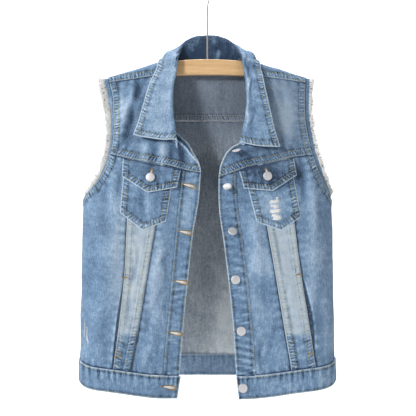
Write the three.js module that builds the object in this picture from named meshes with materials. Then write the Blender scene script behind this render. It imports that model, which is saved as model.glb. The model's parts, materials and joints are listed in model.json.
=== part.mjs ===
// A sleeveless denim vest, unbuttoned, hanging on a wooden hanger with a long wire hook.
// Millimetres. X runs across the vest, -Y faces the viewer and +Z is up. The origin is the crown of
// the hook, where a rail carries the hanger. Right and left are the wearer's, so the right front,
// with the buttonholes, lies at negative X and the left front, with the buttons, at positive X.
import * as THREE from 'three';

// Cloth
const CLOTH = 1.2; // one layer of denim
const DOUBLE_CLOTH = 2.4; // placket and collar, two layers
const BAND_CLOTH = 3; // waistband, two layers and the seam allowance between them
const SEAM_GAP = 0.3; // between neighbouring pieces
const FELL_RAISE = 0.8; // how far a felled seam stands proud
const FELL_WIDTH = 11; // width of a felled seam between its edge and the inner stitch line

// Body of the vest, as a flattened tube that hangs from the shoulders
const SHOULDER_PEAK = -137.5; // where the two shoulder lines would meet over the neck
const SHOULDER_SLOPE = 0.313; // drop of the shoulder for each millimetre outward
const SHOULDER_ROUND = 12; // radius of the cloth over the hanger
const FRONT_DEPTH = 88; // how far the front stands before the hanger at the hem
const FRONT_FILL = 220; // drop over which the front swells to that depth
const BACK_BOW = 3; // extra depth of the back over the shoulder blades
const HEM_DROP = 420; // drop from the shoulder line to the hem in the front
const UNDERARM = -434; // height of the bottom of the armhole seam
const HEM = -767; // height of the hem at the sides and back
const HEM_DIP = 17; // how much lower the front corners hang
const WAISTBAND_HEIGHT = 40;
const HALF_WIDTH_UNDERARM = 229.5;
const HALF_WIDTH_HEM = 232.5;
const SIDE_ROUND = 50; // breadth of the rounding at each side
const SIDE_ARC = 72; // cloth in a quarter of that rounding
const BACK_YOKE_SEAM = -280;
const SHOULDER_SEAM = 19; // cloth distance of the shoulder seam in front of the shoulder top

// Parts sewn on
const LAYER_GAP = 0.3;
const POCKET_LIFT = CLOTH + FELL_RAISE + LAYER_GAP;
const FLAP_LIFT = POCKET_LIFT + CLOTH + 0.6;
const BAND_LEAN = { right: 55, left: 12 }; // degrees that it leans into the armhole in front
const BAND_WIDTH = 10; // what is left of each sleeve beyond the armhole seam
const FRAY_LENGTH = 4; // of the mean lock beyond its root
const FRAY_ROOT = 2; // narrow strip that the frayed locks grow from
const BUTTON_RADIUS = 8.5;
const BUTTON_HEIGHT = 4.4;
const BUTTON_GAP = 0.5; // below its foot, as the cloth curves

// Hanger
const BAR_TOP = -165;
const BAR_HEIGHT = 30;
const BAR_TIP_HEIGHT = 20;
const BAR_THICKNESS = 12;
const BAR_HALF_LENGTH = 196;
const BAR_CLEARANCE = 2; // from the shoulder line down to the wood
const WIRE = 3;
const HOOK_RADIUS = 22; // inside radius of the hook

// Lines down each front: distance from the centre of the front edge, of the inner edge of the placket
// and of the two edges of the faded strip, by height
const FRONT_LINES = {
  right: [
    { z: -790, edge: 53, placket: 81, stripIn: 142, stripOut: 171 },
    { z: -733, edge: 48.8, placket: 77, stripIn: 135, stripOut: 166 },
    { z: -661, edge: 43, placket: 71, stripIn: 121.5, stripOut: 157 },
    { z: -572, edge: 34.5, placket: 63, stripIn: 107, stripOut: 148 },
    { z: -490, edge: 25.5, placket: 56, stripIn: 94, stripOut: 144.5 },
    { z: -433, edge: 16, placket: 50.5, stripIn: 85.5, stripOut: 143 },
    { z: -376, edge: 11.8, placket: 44, stripIn: 76.5, stripOut: 141.5 },
  ],
  left: [
    { z: -790, edge: 54, placket: 88, stripIn: 155, stripOut: 197 },
    { z: -733, edge: 50.5, placket: 84, stripIn: 148, stripOut: 191 },
    { z: -659, edge: 45.8, placket: 79, stripIn: 136, stripOut: 181 },
    { z: -584, edge: 38.3, placket: 72, stripIn: 124, stripOut: 169.5 },
    { z: -510, edge: 29.5, placket: 63.5, stripIn: 111.5, stripOut: 160 },
    { z: -447, edge: 21, placket: 54, stripIn: 101, stripOut: 153 },
    { z: -387, edge: 20.5, placket: 51, stripIn: 91.5, stripOut: 146 },
  ],
};

// Height of the seam under each front yoke, by distance from the centre
const YOKE_SEAM = {
  right: [
    { x: 11, z: -381.5 },
    { x: 44, z: -376.5 },
    { x: 65, z: -371 },
    { x: 100, z: -364 },
    { x: 140, z: -357 },
    { x: 180, z: -347.5 },
  ],
  left: [
    { x: 20, z: -391 },
    { x: 51, z: -380 },
    { x: 78, z: -371 },
    { x: 118, z: -363.5 },
    { x: 156, z: -354 },
    { x: 195, z: -349 },
  ],
};

// Free front edge of each yoke, from its seam up to the neckline under the collar
const YOKE_EDGE = {
  right: [
    { x: 13, z: -371 },
    { x: 17.5, z: -359 },
    { x: 25, z: -346 },
    { x: 33, z: -331 },
    { x: 41, z: -322 },
    { x: 49, z: -315.5 },
    { x: 59, z: -307 },
    { x: 69, z: -294 },
  ],
  left: [
    { x: 23, z: -373 },
    { x: 28, z: -358 },
    { x: 37, z: -343 },
    { x: 48, z: -333.5 },
    { x: 60, z: -327.5 },
    { x: 70, z: -319.5 },
    { x: 78, z: -307 },
  ],
};

// Neckline from the centre back to the front end of the collar: distance from the centre, and cloth
// distance from the shoulder top, behind it positive and before it negative
const NECKLINE = {
  right: [
    { x: 0, s: 41 }, { x: 30, s: 31 }, { x: 52, s: 16 }, { x: 64, s: 0 }, { x: 71, s: -22 },
    { x: 78, s: -60 }, { x: 80, s: -96 }, { x: 76, s: -131 }, { x: 66, s: -165 }, { x: 54, s: -187 },
  ],
  left: [
    { x: 0, s: 41 }, { x: 30, s: 31 }, { x: 52, s: 16 }, { x: 64, s: 0 }, { x: 73, s: -22 },
    { x: 84, s: -60 }, { x: 88, s: -96 }, { x: 86, s: -128 }, { x: 77, s: -156 }, { x: 67, s: -177 },
  ],
};

// Armhole seam by height: cloth distance in from the side line, in front and behind
const ARMHOLE = {
  rightFront: [
    { z: -434, g: 0 }, { z: -432, g: 10 }, { z: -425, g: 22 }, { z: -405, g: 48 }, { z: -375, g: 66.5 },
    { z: -340, g: 77 }, { z: -312, g: 79 }, { z: -281, g: 78 }, { z: -238, g: 74 }, { z: -208, g: 67 },
  ],
  leftFront: [
    { z: -434, g: 0 }, { z: -432, g: 9 }, { z: -424, g: 21 }, { z: -397, g: 43 }, { z: -355, g: 59 },
    { z: -333, g: 64 }, { z: -290, g: 69.5 }, { z: -262, g: 70 }, { z: -235, g: 69 }, { z: -208, g: 67 },
  ],
  back: [
    { z: -434, g: 0 }, { z: -431, g: 14 }, { z: -420, g: 32 }, { z: -400, g: 48 }, { z: -370, g: 60 },
    { z: -330, g: 68 }, { z: -290, g: 71 }, { z: -250, g: 70 }, { z: -215, g: 67 },
  ],
};

// Largest folds: a ridge where raise is positive and a trough where it is negative, from one end to
// the other, with the half width of its rounding. X is signed, on the face that it lies on.
const FOLDS = [
  { face: -1, x1: -150, z1: -235, x2: -160, z2: -345, width: 10, raise: 4 },
  { face: -1, x1: -118, z1: -225, x2: -138, z2: -350, width: 11, raise: -4 },
  { face: -1, x1: -172, z1: -360, x2: -168, z2: -470, width: 9, raise: 4 },
  { face: -1, x1: -187, z1: -385, x2: -186, z2: -520, width: 10, raise: -3 },
  { face: -1, x1: -80, z1: -490, x2: -98, z2: -690, width: 12, raise: 4 },
  { face: -1, x1: -205, z1: -600, x2: -186, z2: -735, width: 12, raise: 3.5 },
  { face: -1, x1: 171, z1: -350, x2: 177, z2: -450, width: 7, raise: -4 },
  { face: -1, x1: 186, z1: -350, x2: 196, z2: -520, width: 9, raise: 4 },
  { face: -1, x1: 122, z1: -225, x2: 112, z2: -330, width: 14, raise: 3 },
  { face: -1, x1: 84, z1: -430, x2: 92, z2: -610, width: 13, raise: 4 },
  { face: -1, x1: 126, z1: -640, x2: 92, z2: -735, width: 9, raise: -4 },
  { face: -1, x1: 215, z1: -560, x2: 208, z2: -735, width: 11, raise: 3.5 },
  { face: 1, x1: -110, z1: -300, x2: -70, z2: -640, width: 18, raise: 5 },
  { face: 1, x1: 40, z1: -310, x2: 60, z2: -700, width: 16, raise: 4 },
  { face: 1, x1: -150, z1: -420, x2: -160, z2: -720, width: 16, raise: -5 },
  { face: 1, x1: 140, z1: -360, x2: 120, z2: -600, width: 18, raise: -5 },
];

// How far the front edge rolls back, and over what breadth
const EDGE_ROLL = { right: 9, left: 3 };
const EDGE_ROLL_BREADTH = 55;

// Chest pockets and their flaps: corners as distance from the centre and height
const POCKETS = {
  right: {
    topIn: [62, -398], topOut: [152, -384], lowIn: [73.5, -471], tip: [115, -487.5], lowOut: [156.5, -456],
  },
  left: {
    topIn: [70, -399], topOut: [154.5, -382], lowIn: [87.5, -472], tip: [131.6, -487.5], lowOut: [168, -463.5],
  },
};
const FLAPS = {
  right: {
    topIn: [47.5, -377.5], topOut: [153, -356.5], lowIn: [54.5, -411], tip: [107, -420.5], lowOut: [153.6, -391],
  },
  left: {
    topIn: [57, -379.5], topOut: [157, -356], lowIn: [65.5, -413], tip: [117, -417.5], lowOut: [161, -389],
  },
};

// Buttons: distance from the centre and height
const FLAP_BUTTONS = { right: [100.5, -393], left: [109, -391] };
const PLACKET_BUTTONS = [[52, -345], [37, -408], [45.8, -489], [52, -575], [61, -665.5], [66, -763]];

// Collar: its free edge and its roll line from the centre back to the front end, as x, y and z
const COLLAR = {
  right: {
    roll: [
      [0, 24, -113.5], [20, 22, -116.5], [35, 16, -124.5], [43.5, 6, -139], [48.5, -7, -162], [56, -21, -195],
      [63, -32, -220], [65, -42, -250], [62.5, -51.5, -285], [57, -59, -323],
    ],
    edge: [
      [0, 40, -158], [30, 39, -160], [56, 32, -161], [77, 18, -162], [87, 0, -161.5], [93.5, -17, -182],
      [108, -35, -222], [117.5, -47, -262], [123.5, -55, -290], [128.5, -60.5, -311],
    ],
  },
  left: {
    roll: [
      [0, 24, -113.5], [20, 22, -116.5], [36, 16, -124], [49, 5, -139], [60, -9, -165], [69, -23, -199],
      [73, -35, -232], [72.5, -45, -265], [66, -54, -298], [60, -59.5, -323],
    ],
    edge: [
      [0, 40, -158], [30, 39, -160], [60, 32, -162], [85, 18, -165], [98, 0, -165], [103, -17, -185],
      [110.5, -36, -226], [118, -50, -266], [124, -58, -302], [131, -62.5, -334],
    ],
  },
};
const COLLAR_BELLY = 3; // how far the stand and the fall round away from the straight
const COLLAR_SEAT = { back: 3, front: 3.6 }; // its middle above the yoke's inner face, round the neckline

// Colours
const DENIM = new THREE.MeshStandardMaterial({ color: 0x7fa0c4, roughness: 0.9, side: THREE.DoubleSide });
const FADED = new THREE.MeshStandardMaterial({ color: 0xb4c3cc, roughness: 0.9, side: THREE.DoubleSide });
const FRAY = new THREE.MeshStandardMaterial({ color: 0xe9e4dc, roughness: 0.95 });
const METAL = new THREE.MeshStandardMaterial({ color: 0xdcdce0, roughness: 0.3, metalness: 0.9 });
const WOOD = new THREE.MeshStandardMaterial({ color: 0xe0b47a, roughness: 0.5 });

const vest = new THREE.Group();

function add(name, geometry, material) {
  const mesh = new THREE.Mesh(geometry, material);
  mesh.name = name;
  vest.add(mesh);
  return mesh;
}

const clamp01 = (t) => Math.min(1, Math.max(0, t));
const mix = (a, b, t) => a + (b - a) * t;

function ease(t) {
  const c = clamp01(t);
  return c * c * (3 - 2 * c);
}

// Evenly spaced values from 0 to 1, with the two lines of a felled seam added at the ends that have one
function steps(count, length, fellStart = false, fellEnd = false) {
  const fell = FELL_WIDTH / length;
  const shoulder = (FELL_WIDTH + 1.2) / length;
  const from = fellStart ? shoulder : 0;
  const to = fellEnd ? 1 - shoulder : 1;
  const values = [];
  if (fellStart) values.push(0, fell);
  for (let i = 0; i <= count; i += 1) values.push(mix(from, to, i / count));
  if (fellEnd) values.push(1 - fell, 1);
  return values;
}

// Stops along a line between 0 and 1 that keep the given ones and leave no span over the given share
function stops(kept, span) {
  const sorted = [...new Set([0, 1, ...kept])].sort((a, b) => a - b);
  const values = [0];
  for (let i = 1; i < sorted.length; i += 1) {
    const from = sorted[i - 1];
    const parts = Math.max(1, Math.ceil((sorted[i] - from) / span));
    for (let k = 1; k <= parts; k += 1) values.push(mix(from, sorted[i], k / parts));
  }
  return values;
}

// A smooth curve through one column of a table, read by another
function smooth(rows, key, name) {
  const sorted = [...rows].sort((a, b) => a[key] - b[key]);
  const k = sorted.map((row) => row[key]);
  const v = sorted.map((row) => row[name]);
  const last = k.length - 1;
  const slope = k.map((_, i) => {
    const before = Math.max(0, i - 1);
    const after = Math.min(last, i + 1);
    return (v[after] - v[before]) / (k[after] - k[before]);
  });
  return (at) => {
    if (at <= k[0]) return v[0];
    if (at >= k[last]) return v[last];
    let i = 0;
    while (k[i + 1] < at) i += 1;
    const h = k[i + 1] - k[i];
    const t = (at - k[i]) / h;
    const rise = t * t * (3 - 2 * t);
    const startSwing = t * (1 - t) * (1 - t) * h * slope[i];
    const endSwing = t * t * (t - 1) * h * slope[i + 1];
    return mix(v[i], v[i + 1], rise) + startSwing + endSwing;
  };
}

const halfWidth = (z) => mix(HALF_WIDTH_UNDERARM, HALF_WIDTH_HEM, clamp01((UNDERARM - z) / (UNDERARM - HEM)));
const flatWidth = (z) => halfWidth(z) - SIDE_ROUND;
const sideAt = (z) => flatWidth(z) + SIDE_ARC; // cloth from the centre front to the side line
const shoulderTop = (x) => SHOULDER_PEAK - SHOULDER_SLOPE * Math.abs(x);

function roundOver(drop) {
  return Math.sqrt(Math.max(0, SHOULDER_ROUND ** 2 - (SHOULDER_ROUND - drop) ** 2));
}

function frontReach(drop) {
  if (drop < SHOULDER_ROUND) return roundOver(drop);
  const eased = (t) => (t * t) / (t + 25);
  const fill = (t) => 1 - Math.exp(-eased(t) / FRONT_FILL);
  const share = fill(drop - SHOULDER_ROUND) / fill(HEM_DROP - SHOULDER_ROUND);
  return SHOULDER_ROUND + (FRONT_DEPTH - SHOULDER_ROUND) * share;
}

function backReach(drop) {
  if (drop < SHOULDER_ROUND) return roundOver(drop);
  return SHOULDER_ROUND + BACK_BOW * Math.sin(Math.PI * clamp01((drop - SHOULDER_ROUND) / HEM_DROP));
}

// The bare tube: w is the cloth distance from the centre front round to the back, at height z
function tube(side, w, z) {
  const flat = flatWidth(z);
  let x = w;
  let face = -1;
  let share = 1;
  if (w > flat) {
    const along = Math.min(w - flat, 2 * SIDE_ARC);
    const angle = (along / SIDE_ARC) * (Math.PI / 2);
    face = along > SIDE_ARC ? 1 : -1;
    share = Math.abs(Math.cos(angle));
    x = flat + SIDE_ROUND * Math.sin(angle) - Math.max(0, w - flat - 2 * SIDE_ARC);
  }
  const drop = Math.max(0, shoulderTop(x) - z);
  const front = -frontReach(drop);
  const back = backReach(drop);
  const middle = (front + back) / 2;
  const y = middle + ((face < 0 ? front : back) - middle) * share;
  return { point: new THREE.Vector3(side * x, y, z), face };
}

const LINES = {};
for (const hand of ['right', 'left']) {
  LINES[hand] = {};
  for (const name of ['edge', 'placket', 'stripIn', 'stripOut']) {
    LINES[hand][name] = smooth(FRONT_LINES[hand], 'z', name);
  }
  const wholeEdge = [...FRONT_LINES[hand].map((row) => ({ z: row.z, edge: row.edge }))];
  for (const row of YOKE_EDGE[hand]) wholeEdge.push({ z: row.z, edge: row.x });
  LINES[hand].wholeEdge = smooth(wholeEdge, 'z', 'edge');
  LINES[hand].yoke = smooth(YOKE_SEAM[hand], 'x', 'z');
  LINES[hand].armhole = smooth(ARMHOLE[hand + 'Front'], 'z', 'g');
}
const backArmhole = smooth(ARMHOLE.back, 'z', 'g');
const handOf = (side) => (side < 0 ? 'right' : 'left');

// How far the cloth stands off the bare tube: folds and the roll of the front edges
function relief(x, z, face) {
  let height = 0;
  for (const fold of FOLDS) {
    if (fold.face !== face) continue;
    const dx = fold.x2 - fold.x1;
    const dz = fold.z2 - fold.z1;
    const length = Math.hypot(dx, dz);
    const along = ((x - fold.x1) * dx + (z - fold.z1) * dz) / length ** 2;
    const across = ((x - fold.x1) * dz - (z - fold.z1) * dx) / length;
    const fade = ease(along * 3) * ease((1 - along) * 3);
    height += fold.raise * fade * Math.exp(-((across / fold.width) ** 2));
  }
  if (face < 0) {
    const hand = handOf(x);
    const inward = Math.abs(x) - LINES[hand].wholeEdge(z);
    const below = ease((-300 - z) / 60);
    height -= EDGE_ROLL[hand] * below * (1 - ease(inward / EDGE_ROLL_BREADTH));
  }
  return height;
}

// A point of the cloth on the body, lifted off its inner face
function onBody(side, w, z, lift) {
  const d = 0.5;
  const here = tube(side, w, z);
  const dw = tube(side, w + d, z).point.sub(tube(side, w - d, z).point);
  const dz = tube(side, w, z + d).point.sub(tube(side, w, z - d).point);
  const normal = new THREE.Vector3().crossVectors(dz, dw).multiplyScalar(-side).normalize();
  const height = relief(here.point.x, z, here.face);
  return here.point.addScaledVector(normal, height + lift);
}

// The same cloth near the shoulder: s is the cloth distance from the shoulder top, behind it positive
const QUARTER = (SHOULDER_ROUND * Math.PI) / 2;

function dropAt(s) {
  const along = Math.abs(s);
  if (along < QUARTER) return SHOULDER_ROUND * (1 - Math.cos(along / SHOULDER_ROUND));
  return SHOULDER_ROUND + along - QUARTER;
}

// Past the flat width the cloth has started round the side, as on the tube
function aroundSide(w) {
  const flat = flatWidth(0);
  const angle = (Math.max(0, Math.abs(w) - flat) / SIDE_ARC) * (Math.PI / 2);
  return { x: Math.min(Math.abs(w), flat) + SIDE_ROUND * Math.sin(angle), share: Math.cos(angle) };
}

function overShoulder(w, s) {
  const drop = dropAt(s);
  const { x, share } = aroundSide(w);
  const front = -frontReach(drop);
  const back = backReach(drop);
  const middle = (front + back) / 2;
  const y = middle + ((s < 0 ? front : back) - middle) * share;
  return new THREE.Vector3(Math.sign(w) * x, y, shoulderTop(x) - drop);
}

function onShoulder(w, s, lift) {
  const d = 0.5;
  const here = overShoulder(w, s);
  const dw = overShoulder(w + d, s).sub(overShoulder(w - d, s));
  const ds = overShoulder(w, s + d).sub(overShoulder(w, s - d));
  const normal = new THREE.Vector3().crossVectors(dw, ds).normalize();
  const height = relief(here.x, here.z, s < 0 ? -1 : 1);
  return here.addScaledVector(normal, height + lift);
}

// Cloth distance from the shoulder top of a height on the front (face -1) or the back (face 1)
function distanceFromTop(w, z, face) {
  const drop = shoulderTop(aroundSide(w).x) - z;
  return face * (QUARTER + drop - SHOULDER_ROUND);
}

// A closed wall between two lifts of a sheet, over a grid. The sheet is a function of u, v and lift.
function wall(sheet, us, vs, inner, outer, ring = false) {
  const positions = [];
  const index = [];
  const level = (value, u, v) => (typeof value === 'function' ? value(u, v) : value);
  for (const lift of [inner, outer]) {
    for (const u of us) {
      for (const v of vs) positions.push(...sheet(u, v, level(lift, u, v)).toArray());
    }
  }
  const columns = us.length;
  const rows = vs.length;
  const id = (layer, i, j) => (layer * columns + (i % columns)) * rows + j;
  const quad = (a, b, c, d) => index.push(a, b, c, a, c, d);
  const spans = ring ? columns : columns - 1;
  for (let i = 0; i < spans; i += 1) {
    for (let j = 0; j < rows - 1; j += 1) {
      quad(id(1, i, j), id(1, i + 1, j), id(1, i + 1, j + 1), id(1, i, j + 1));
      quad(id(0, i, j + 1), id(0, i + 1, j + 1), id(0, i + 1, j), id(0, i, j));
    }
    quad(id(0, i, 0), id(0, i + 1, 0), id(1, i + 1, 0), id(1, i, 0));
    quad(id(1, i, rows - 1), id(1, i + 1, rows - 1), id(0, i + 1, rows - 1), id(0, i, rows - 1));
  }
  if (!ring) {
    for (let j = 0; j < rows - 1; j += 1) {
      quad(id(1, 0, j), id(1, 0, j + 1), id(0, 0, j + 1), id(0, 0, j));
      quad(id(0, columns - 1, j), id(0, columns - 1, j + 1), id(1, columns - 1, j + 1), id(1, columns - 1, j));
    }
  }
  return closedGeometry(positions, index);
}

// Faces turned outward, whichever way round the grid was given
function closedGeometry(positions, index) {
  let volume = 0;
  const at = (i) => new THREE.Vector3().fromArray(positions, 3 * i);
  for (let i = 0; i < index.length; i += 3) {
    volume += at(index[i]).dot(at(index[i + 1]).cross(at(index[i + 2])));
  }
  if (volume < 0) index.reverse();
  const geometry = new THREE.BufferGeometry();
  geometry.setAttribute('position', new THREE.Float32BufferAttribute(positions, 3));
  geometry.setIndex(index);
  geometry.computeVertexNormals();
  return geometry;
}

// A line through points on the unrolled cloth, read by the share of its length. Its marks are the
// shares at which it passes through the points.
function route(points) {
  const curve = new THREE.SplineCurve(points.map(([a, b]) => new THREE.Vector2(a, b)));
  const fine = 40;
  curve.arcLengthDivisions = fine * (points.length - 1);
  const lengths = curve.getLengths();
  const line = (t) => curve.getPointAt(clamp01(t));
  line.total = lengths.at(-1);
  line.marks = points.map((_, i) => lengths[i * fine] / line.total);
  return line;
}

// Two lines end to end, as one
function joined(first, second) {
  const total = first.total + second.total;
  const share = first.total / total;
  const line = (t) => (t < share ? first(t / share) : second((t - share) / (1 - share)));
  line.total = total;
  line.marks = [...first.marks.map((t) => t * share), ...second.marks.slice(1).map((t) => mix(share, 1, t))];
  return line;
}

// A patch of unrolled cloth between four lines that meet at their ends
function patch(south, north, west, east) {
  const corner = [south(0), south(1), north(0), north(1)];
  return (u, v) => {
    const across = south(u).clone().lerp(north(u), v);
    const along = west(v).clone().lerp(east(v), u);
    const low = corner[0].clone().lerp(corner[1], u);
    const high = corner[2].clone().lerp(corner[3], u);
    return across.add(along).sub(low.lerp(high, v));
  };
}

// Armhole edges of the panels, kept so that the bands can follow them
const armholes = { right: [], left: [] };

function keepEdge(hand, sheet, u, vs) {
  for (const v of vs) {
    const point = sheet(u, v, 0);
    const facing = sheet(u, v, 1).sub(point).normalize();
    armholes[hand].push({ point, facing });
  }
}

const fellBy = (u0, u1, v0, v1) => (u, v) => {
  const proud = (u0 && u <= u0) || (u1 && u >= u1) || (v0 && v <= v0) || (v1 && v >= v1);
  return CLOTH + (proud ? FELL_RAISE : 0);
};
const fellShare = (length) => FELL_WIDTH / length + 1e-6;

function hemAt(x) {
  return HEM - HEM_DIP * (1 - ease((Math.abs(x) - 50) / 180));
}

// Cloth distance from the centre front of the armhole seam, in front and behind
const frontArmhole = (hand, z) => sideAt(z) - LINES[hand].armhole(z);
const rearArmhole = (z) => sideAt(z) + backArmhole(z);
const rearCentre = (z) => 2 * sideAt(z);
const neckAtSeam = (hand) => NECKLINE[hand][4].x - 0.5;
const armAtSeam = (hand) => frontArmhole(hand, -208);

// The side line from the waistband up to the armhole, then the armhole's curve to the end point
function sideRoute(low, rows, at, end) {
  const side = route([low, UNDERARM].map((z) => [at(z, 0), z]));
  const curve = rows.filter((row) => row.z < end[1] - 12).map((row) => [at(row.z, row.g), row.z]);
  return joined(side, route([...curve, end]));
}

// Stops on a panel's armhole edge: few beside the side seam, closer round the curve
function edgeStops(line) {
  const start = line.marks[1];
  const curve = stops(line.marks.filter((t) => t >= start), 17 / line.total).filter((t) => t >= start);
  return { all: [...stops([], 1 / 7).slice(0, -1).map((t) => mix(0, start, t)), ...curve], curve };
}

function buildFront(side) {
  const hand = handOf(side);
  const lines = LINES[hand];
  const gap = SEAM_GAP / 2;
  const bandTop = (w) => hemAt(w) + WAISTBAND_HEIGHT + SEAM_GAP + 0.1;
  const body = (grid) => (u, v, lift) => {
    const p = grid(u, v);
    return onBody(side, p.x, p.y, lift);
  };
  // A line of the front from the waistband up to the yoke seam, read by share of height
  const downLine = (name, shift) => (t) => {
    const top = lines.yoke(lines[name](-370)) - gap;
    const low = bandTop(lines[name](-733) + shift);
    const z = mix(low, top, t);
    return new THREE.Vector2(lines[name](z) + shift, z);
  };
  const between = (west, east) => {
    const south = (t) => {
      const w = mix(west(0).x, east(0).x, t);
      return new THREE.Vector2(w, bandTop(w));
    };
    const north = (t) => {
      const w = mix(west(1).x, east(1).x, t);
      return new THREE.Vector2(w, lines.yoke(w) - gap);
    };
    return body(patch(south, north, west, east));
  };
  const seamXs = []; // where the panels' grids meet the yoke seam
  const heights = steps(13, 370);

  const centreWest = downLine('placket', gap);
  const centreEast = downLine('stripIn', -gap);
  const centreUs = steps(3, 50);
  add(`front_centre_${hand}`, wall(between(centreWest, centreEast), centreUs, heights, 0, CLOTH), DENIM);
  centreUs.forEach((u) => seamXs.push(mix(centreWest(1).x, centreEast(1).x, u)));

  const stripWest = downLine('stripIn', gap);
  const stripEast = downLine('stripOut', -gap);
  const stripWidth = 52;
  const stripFell = fellShare(stripWidth);
  const stripUs = steps(1, stripWidth, true, true);
  const stripOuter = fellBy(stripFell, 1 - stripFell, 0, 0);
  add(`front_strip_${hand}`, wall(between(stripWest, stripEast), stripUs, heights, 0, stripOuter), FADED);
  stripUs.forEach((u) => seamXs.push(mix(stripWest(1).x, stripEast(1).x, u)));

  const sideLow = bandTop(sideAt(HEM));
  const yokeEndX = frontArmhole(hand, -350) - gap;
  const yokeEnd = [yokeEndX, lines.yoke(yokeEndX) - gap];
  const armRows = ARMHOLE[hand + 'Front'];
  const sideEast = sideRoute(sideLow, armRows, (z, g) => sideAt(z) - g - gap, yokeEnd);
  const sideWest = downLine('stripOut', SEAM_GAP);
  const sideSouth = (t) => {
    const w = mix(sideWest(0).x, sideEast(0).x, t);
    return new THREE.Vector2(w, bandTop(w));
  };
  const sideNorth = (t) => {
    const w = mix(sideWest(1).x, yokeEndX, t);
    return new THREE.Vector2(w, lines.yoke(w) - gap);
  };
  const sideSheet = body(patch(sideSouth, sideNorth, sideWest, sideEast));
  const sideUs = steps(4, 80, false, true);
  const sideStops = edgeStops(sideEast);
  const sideOuter = fellBy(0, 1 - fellShare(80), 0, 0);
  add(`front_side_${hand}`, wall(sideSheet, sideUs, sideStops.all, 0, sideOuter), DENIM);
  keepEdge(hand, sideSheet, 1, sideStops.curve);
  sideUs.forEach((u) => seamXs.push(mix(sideWest(1).x, yokeEndX, u)));

  // Placket: between the waistband seam and the yoke seam
  const placketWest = downLine('edge', 0);
  const placketEast = downLine('placket', -gap);
  const placketUs = steps(3, 32);
  add(`placket_${hand}`, wall(between(placketWest, placketEast), placketUs, heights, 0, DOUBLE_CLOTH), DENIM);
  placketUs.forEach((u) => seamXs.push(mix(placketWest(1).x, placketEast(1).x, u)));

  // Front yoke: from its seam up to the shoulder seam, round the neckline and the armhole
  const toShoulder = ([w, z]) => [w, distanceFromTop(w, z, -1)];
  const seamFrom = placketWest(1).x;
  const yokeSouth = (t) => {
    const w = mix(seamFrom, yokeEndX, t);
    return new THREE.Vector2(...toShoulder([w, lines.yoke(w) + gap]));
  };
  const neckPoints = [yokeSouth(0).toArray()];
  for (const row of YOKE_EDGE[hand]) neckPoints.push(toShoulder([row.x, row.z]));
  const above = neckPoints.at(-1)[1] + 12;
  const neck = NECKLINE[hand].filter((row) => row.s < -SHOULDER_SEAM - 8 && row.s > above);
  for (const row of [...neck].reverse()) neckPoints.push([row.x, row.s]);
  neckPoints.push([neckAtSeam(hand), -SHOULDER_SEAM - gap]);
  const armPoints = [yokeSouth(1).toArray()];
  for (const row of armRows) {
    const point = toShoulder([sideAt(row.z) - row.g - gap, row.z]);
    if (row.z > yokeEnd[1] + 8 && point[1] < -SHOULDER_SEAM - 8) armPoints.push(point);
  }
  armPoints.push([armAtSeam(hand) - gap, -SHOULDER_SEAM - gap]);
  const yokeWest = route(neckPoints);
  const yokeEast = route(armPoints);
  const yokeNorth = (t) => yokeWest(1).clone().lerp(yokeEast(1), t);
  const yokeGrid = patch(yokeSouth, yokeNorth, yokeWest, yokeEast);
  const yokeSheet = (u, v, lift) => {
    const p = yokeGrid(u, v);
    return onShoulder(side * p.x, p.y, lift);
  };
  const apart = [];
  for (const x of [...seamXs].sort((a, b) => a - b)) {
    if (!apart.length || x - apart.at(-1) > 1) apart.push(x);
  }
  const us = stops(apart.map((x) => (x - seamFrom) / (yokeEndX - seamFrom)), 1);
  const yokeFell = FELL_WIDTH / yokeEast.total;
  const vs = stops([yokeFell], 1 / 10);
  const armFell = us.at(-3) + 1e-6;
  add(
    `front_yoke_${hand}`,
    wall(yokeSheet, us, vs, 0, fellBy(0, armFell, yokeFell + 1e-6, 0)),
    DENIM,
  );
  keepEdge(hand, yokeSheet, 1, vs);
}

// A five-cornered patch, pointed below, that lies on the front
function fiveCorners(side, corners, lift) {
  const lowLeft = new THREE.Vector2(...corners.lowIn);
  const lowRight = new THREE.Vector2(...corners.lowOut);
  const tip = new THREE.Vector2(...corners.tip);
  const topLeft = new THREE.Vector2(...corners.topIn);
  const topRight = new THREE.Vector2(...corners.topOut);
  const tipShare = (tip.x - lowLeft.x) / (lowRight.x - lowLeft.x);
  const low = (u) => {
    if (u < tipShare) return lowLeft.clone().lerp(tip, u / tipShare);
    return tip.clone().lerp(lowRight, (u - tipShare) / (1 - tipShare));
  };
  const sheet = (u, v, extra) => {
    const p = low(u).lerp(topLeft.clone().lerp(topRight, u), v);
    return onBody(side, p.x, p.y, lift(v) + extra);
  };
  const us = [0, 1, 2, 3, 4].map((i) => (tipShare * i) / 4);
  for (let i = 1; i <= 4; i += 1) us.push(mix(tipShare, 1, i / 4));
  return wall(sheet, us, steps(5, 100), 0, CLOTH);
}

function buildPocket(side) {
  const hand = handOf(side);
  add(`chest_pocket_${hand}`, fiveCorners(side, POCKETS[hand], () => POCKET_LIFT), DENIM);
  const flapLift = (v) => mix(FLAP_LIFT, POCKET_LIFT, ease((v - 0.72) / 0.28)); // sewn down at its top
  add(`pocket_flap_${hand}`, fiveCorners(side, FLAPS[hand], flapLift), DENIM);
}

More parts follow.
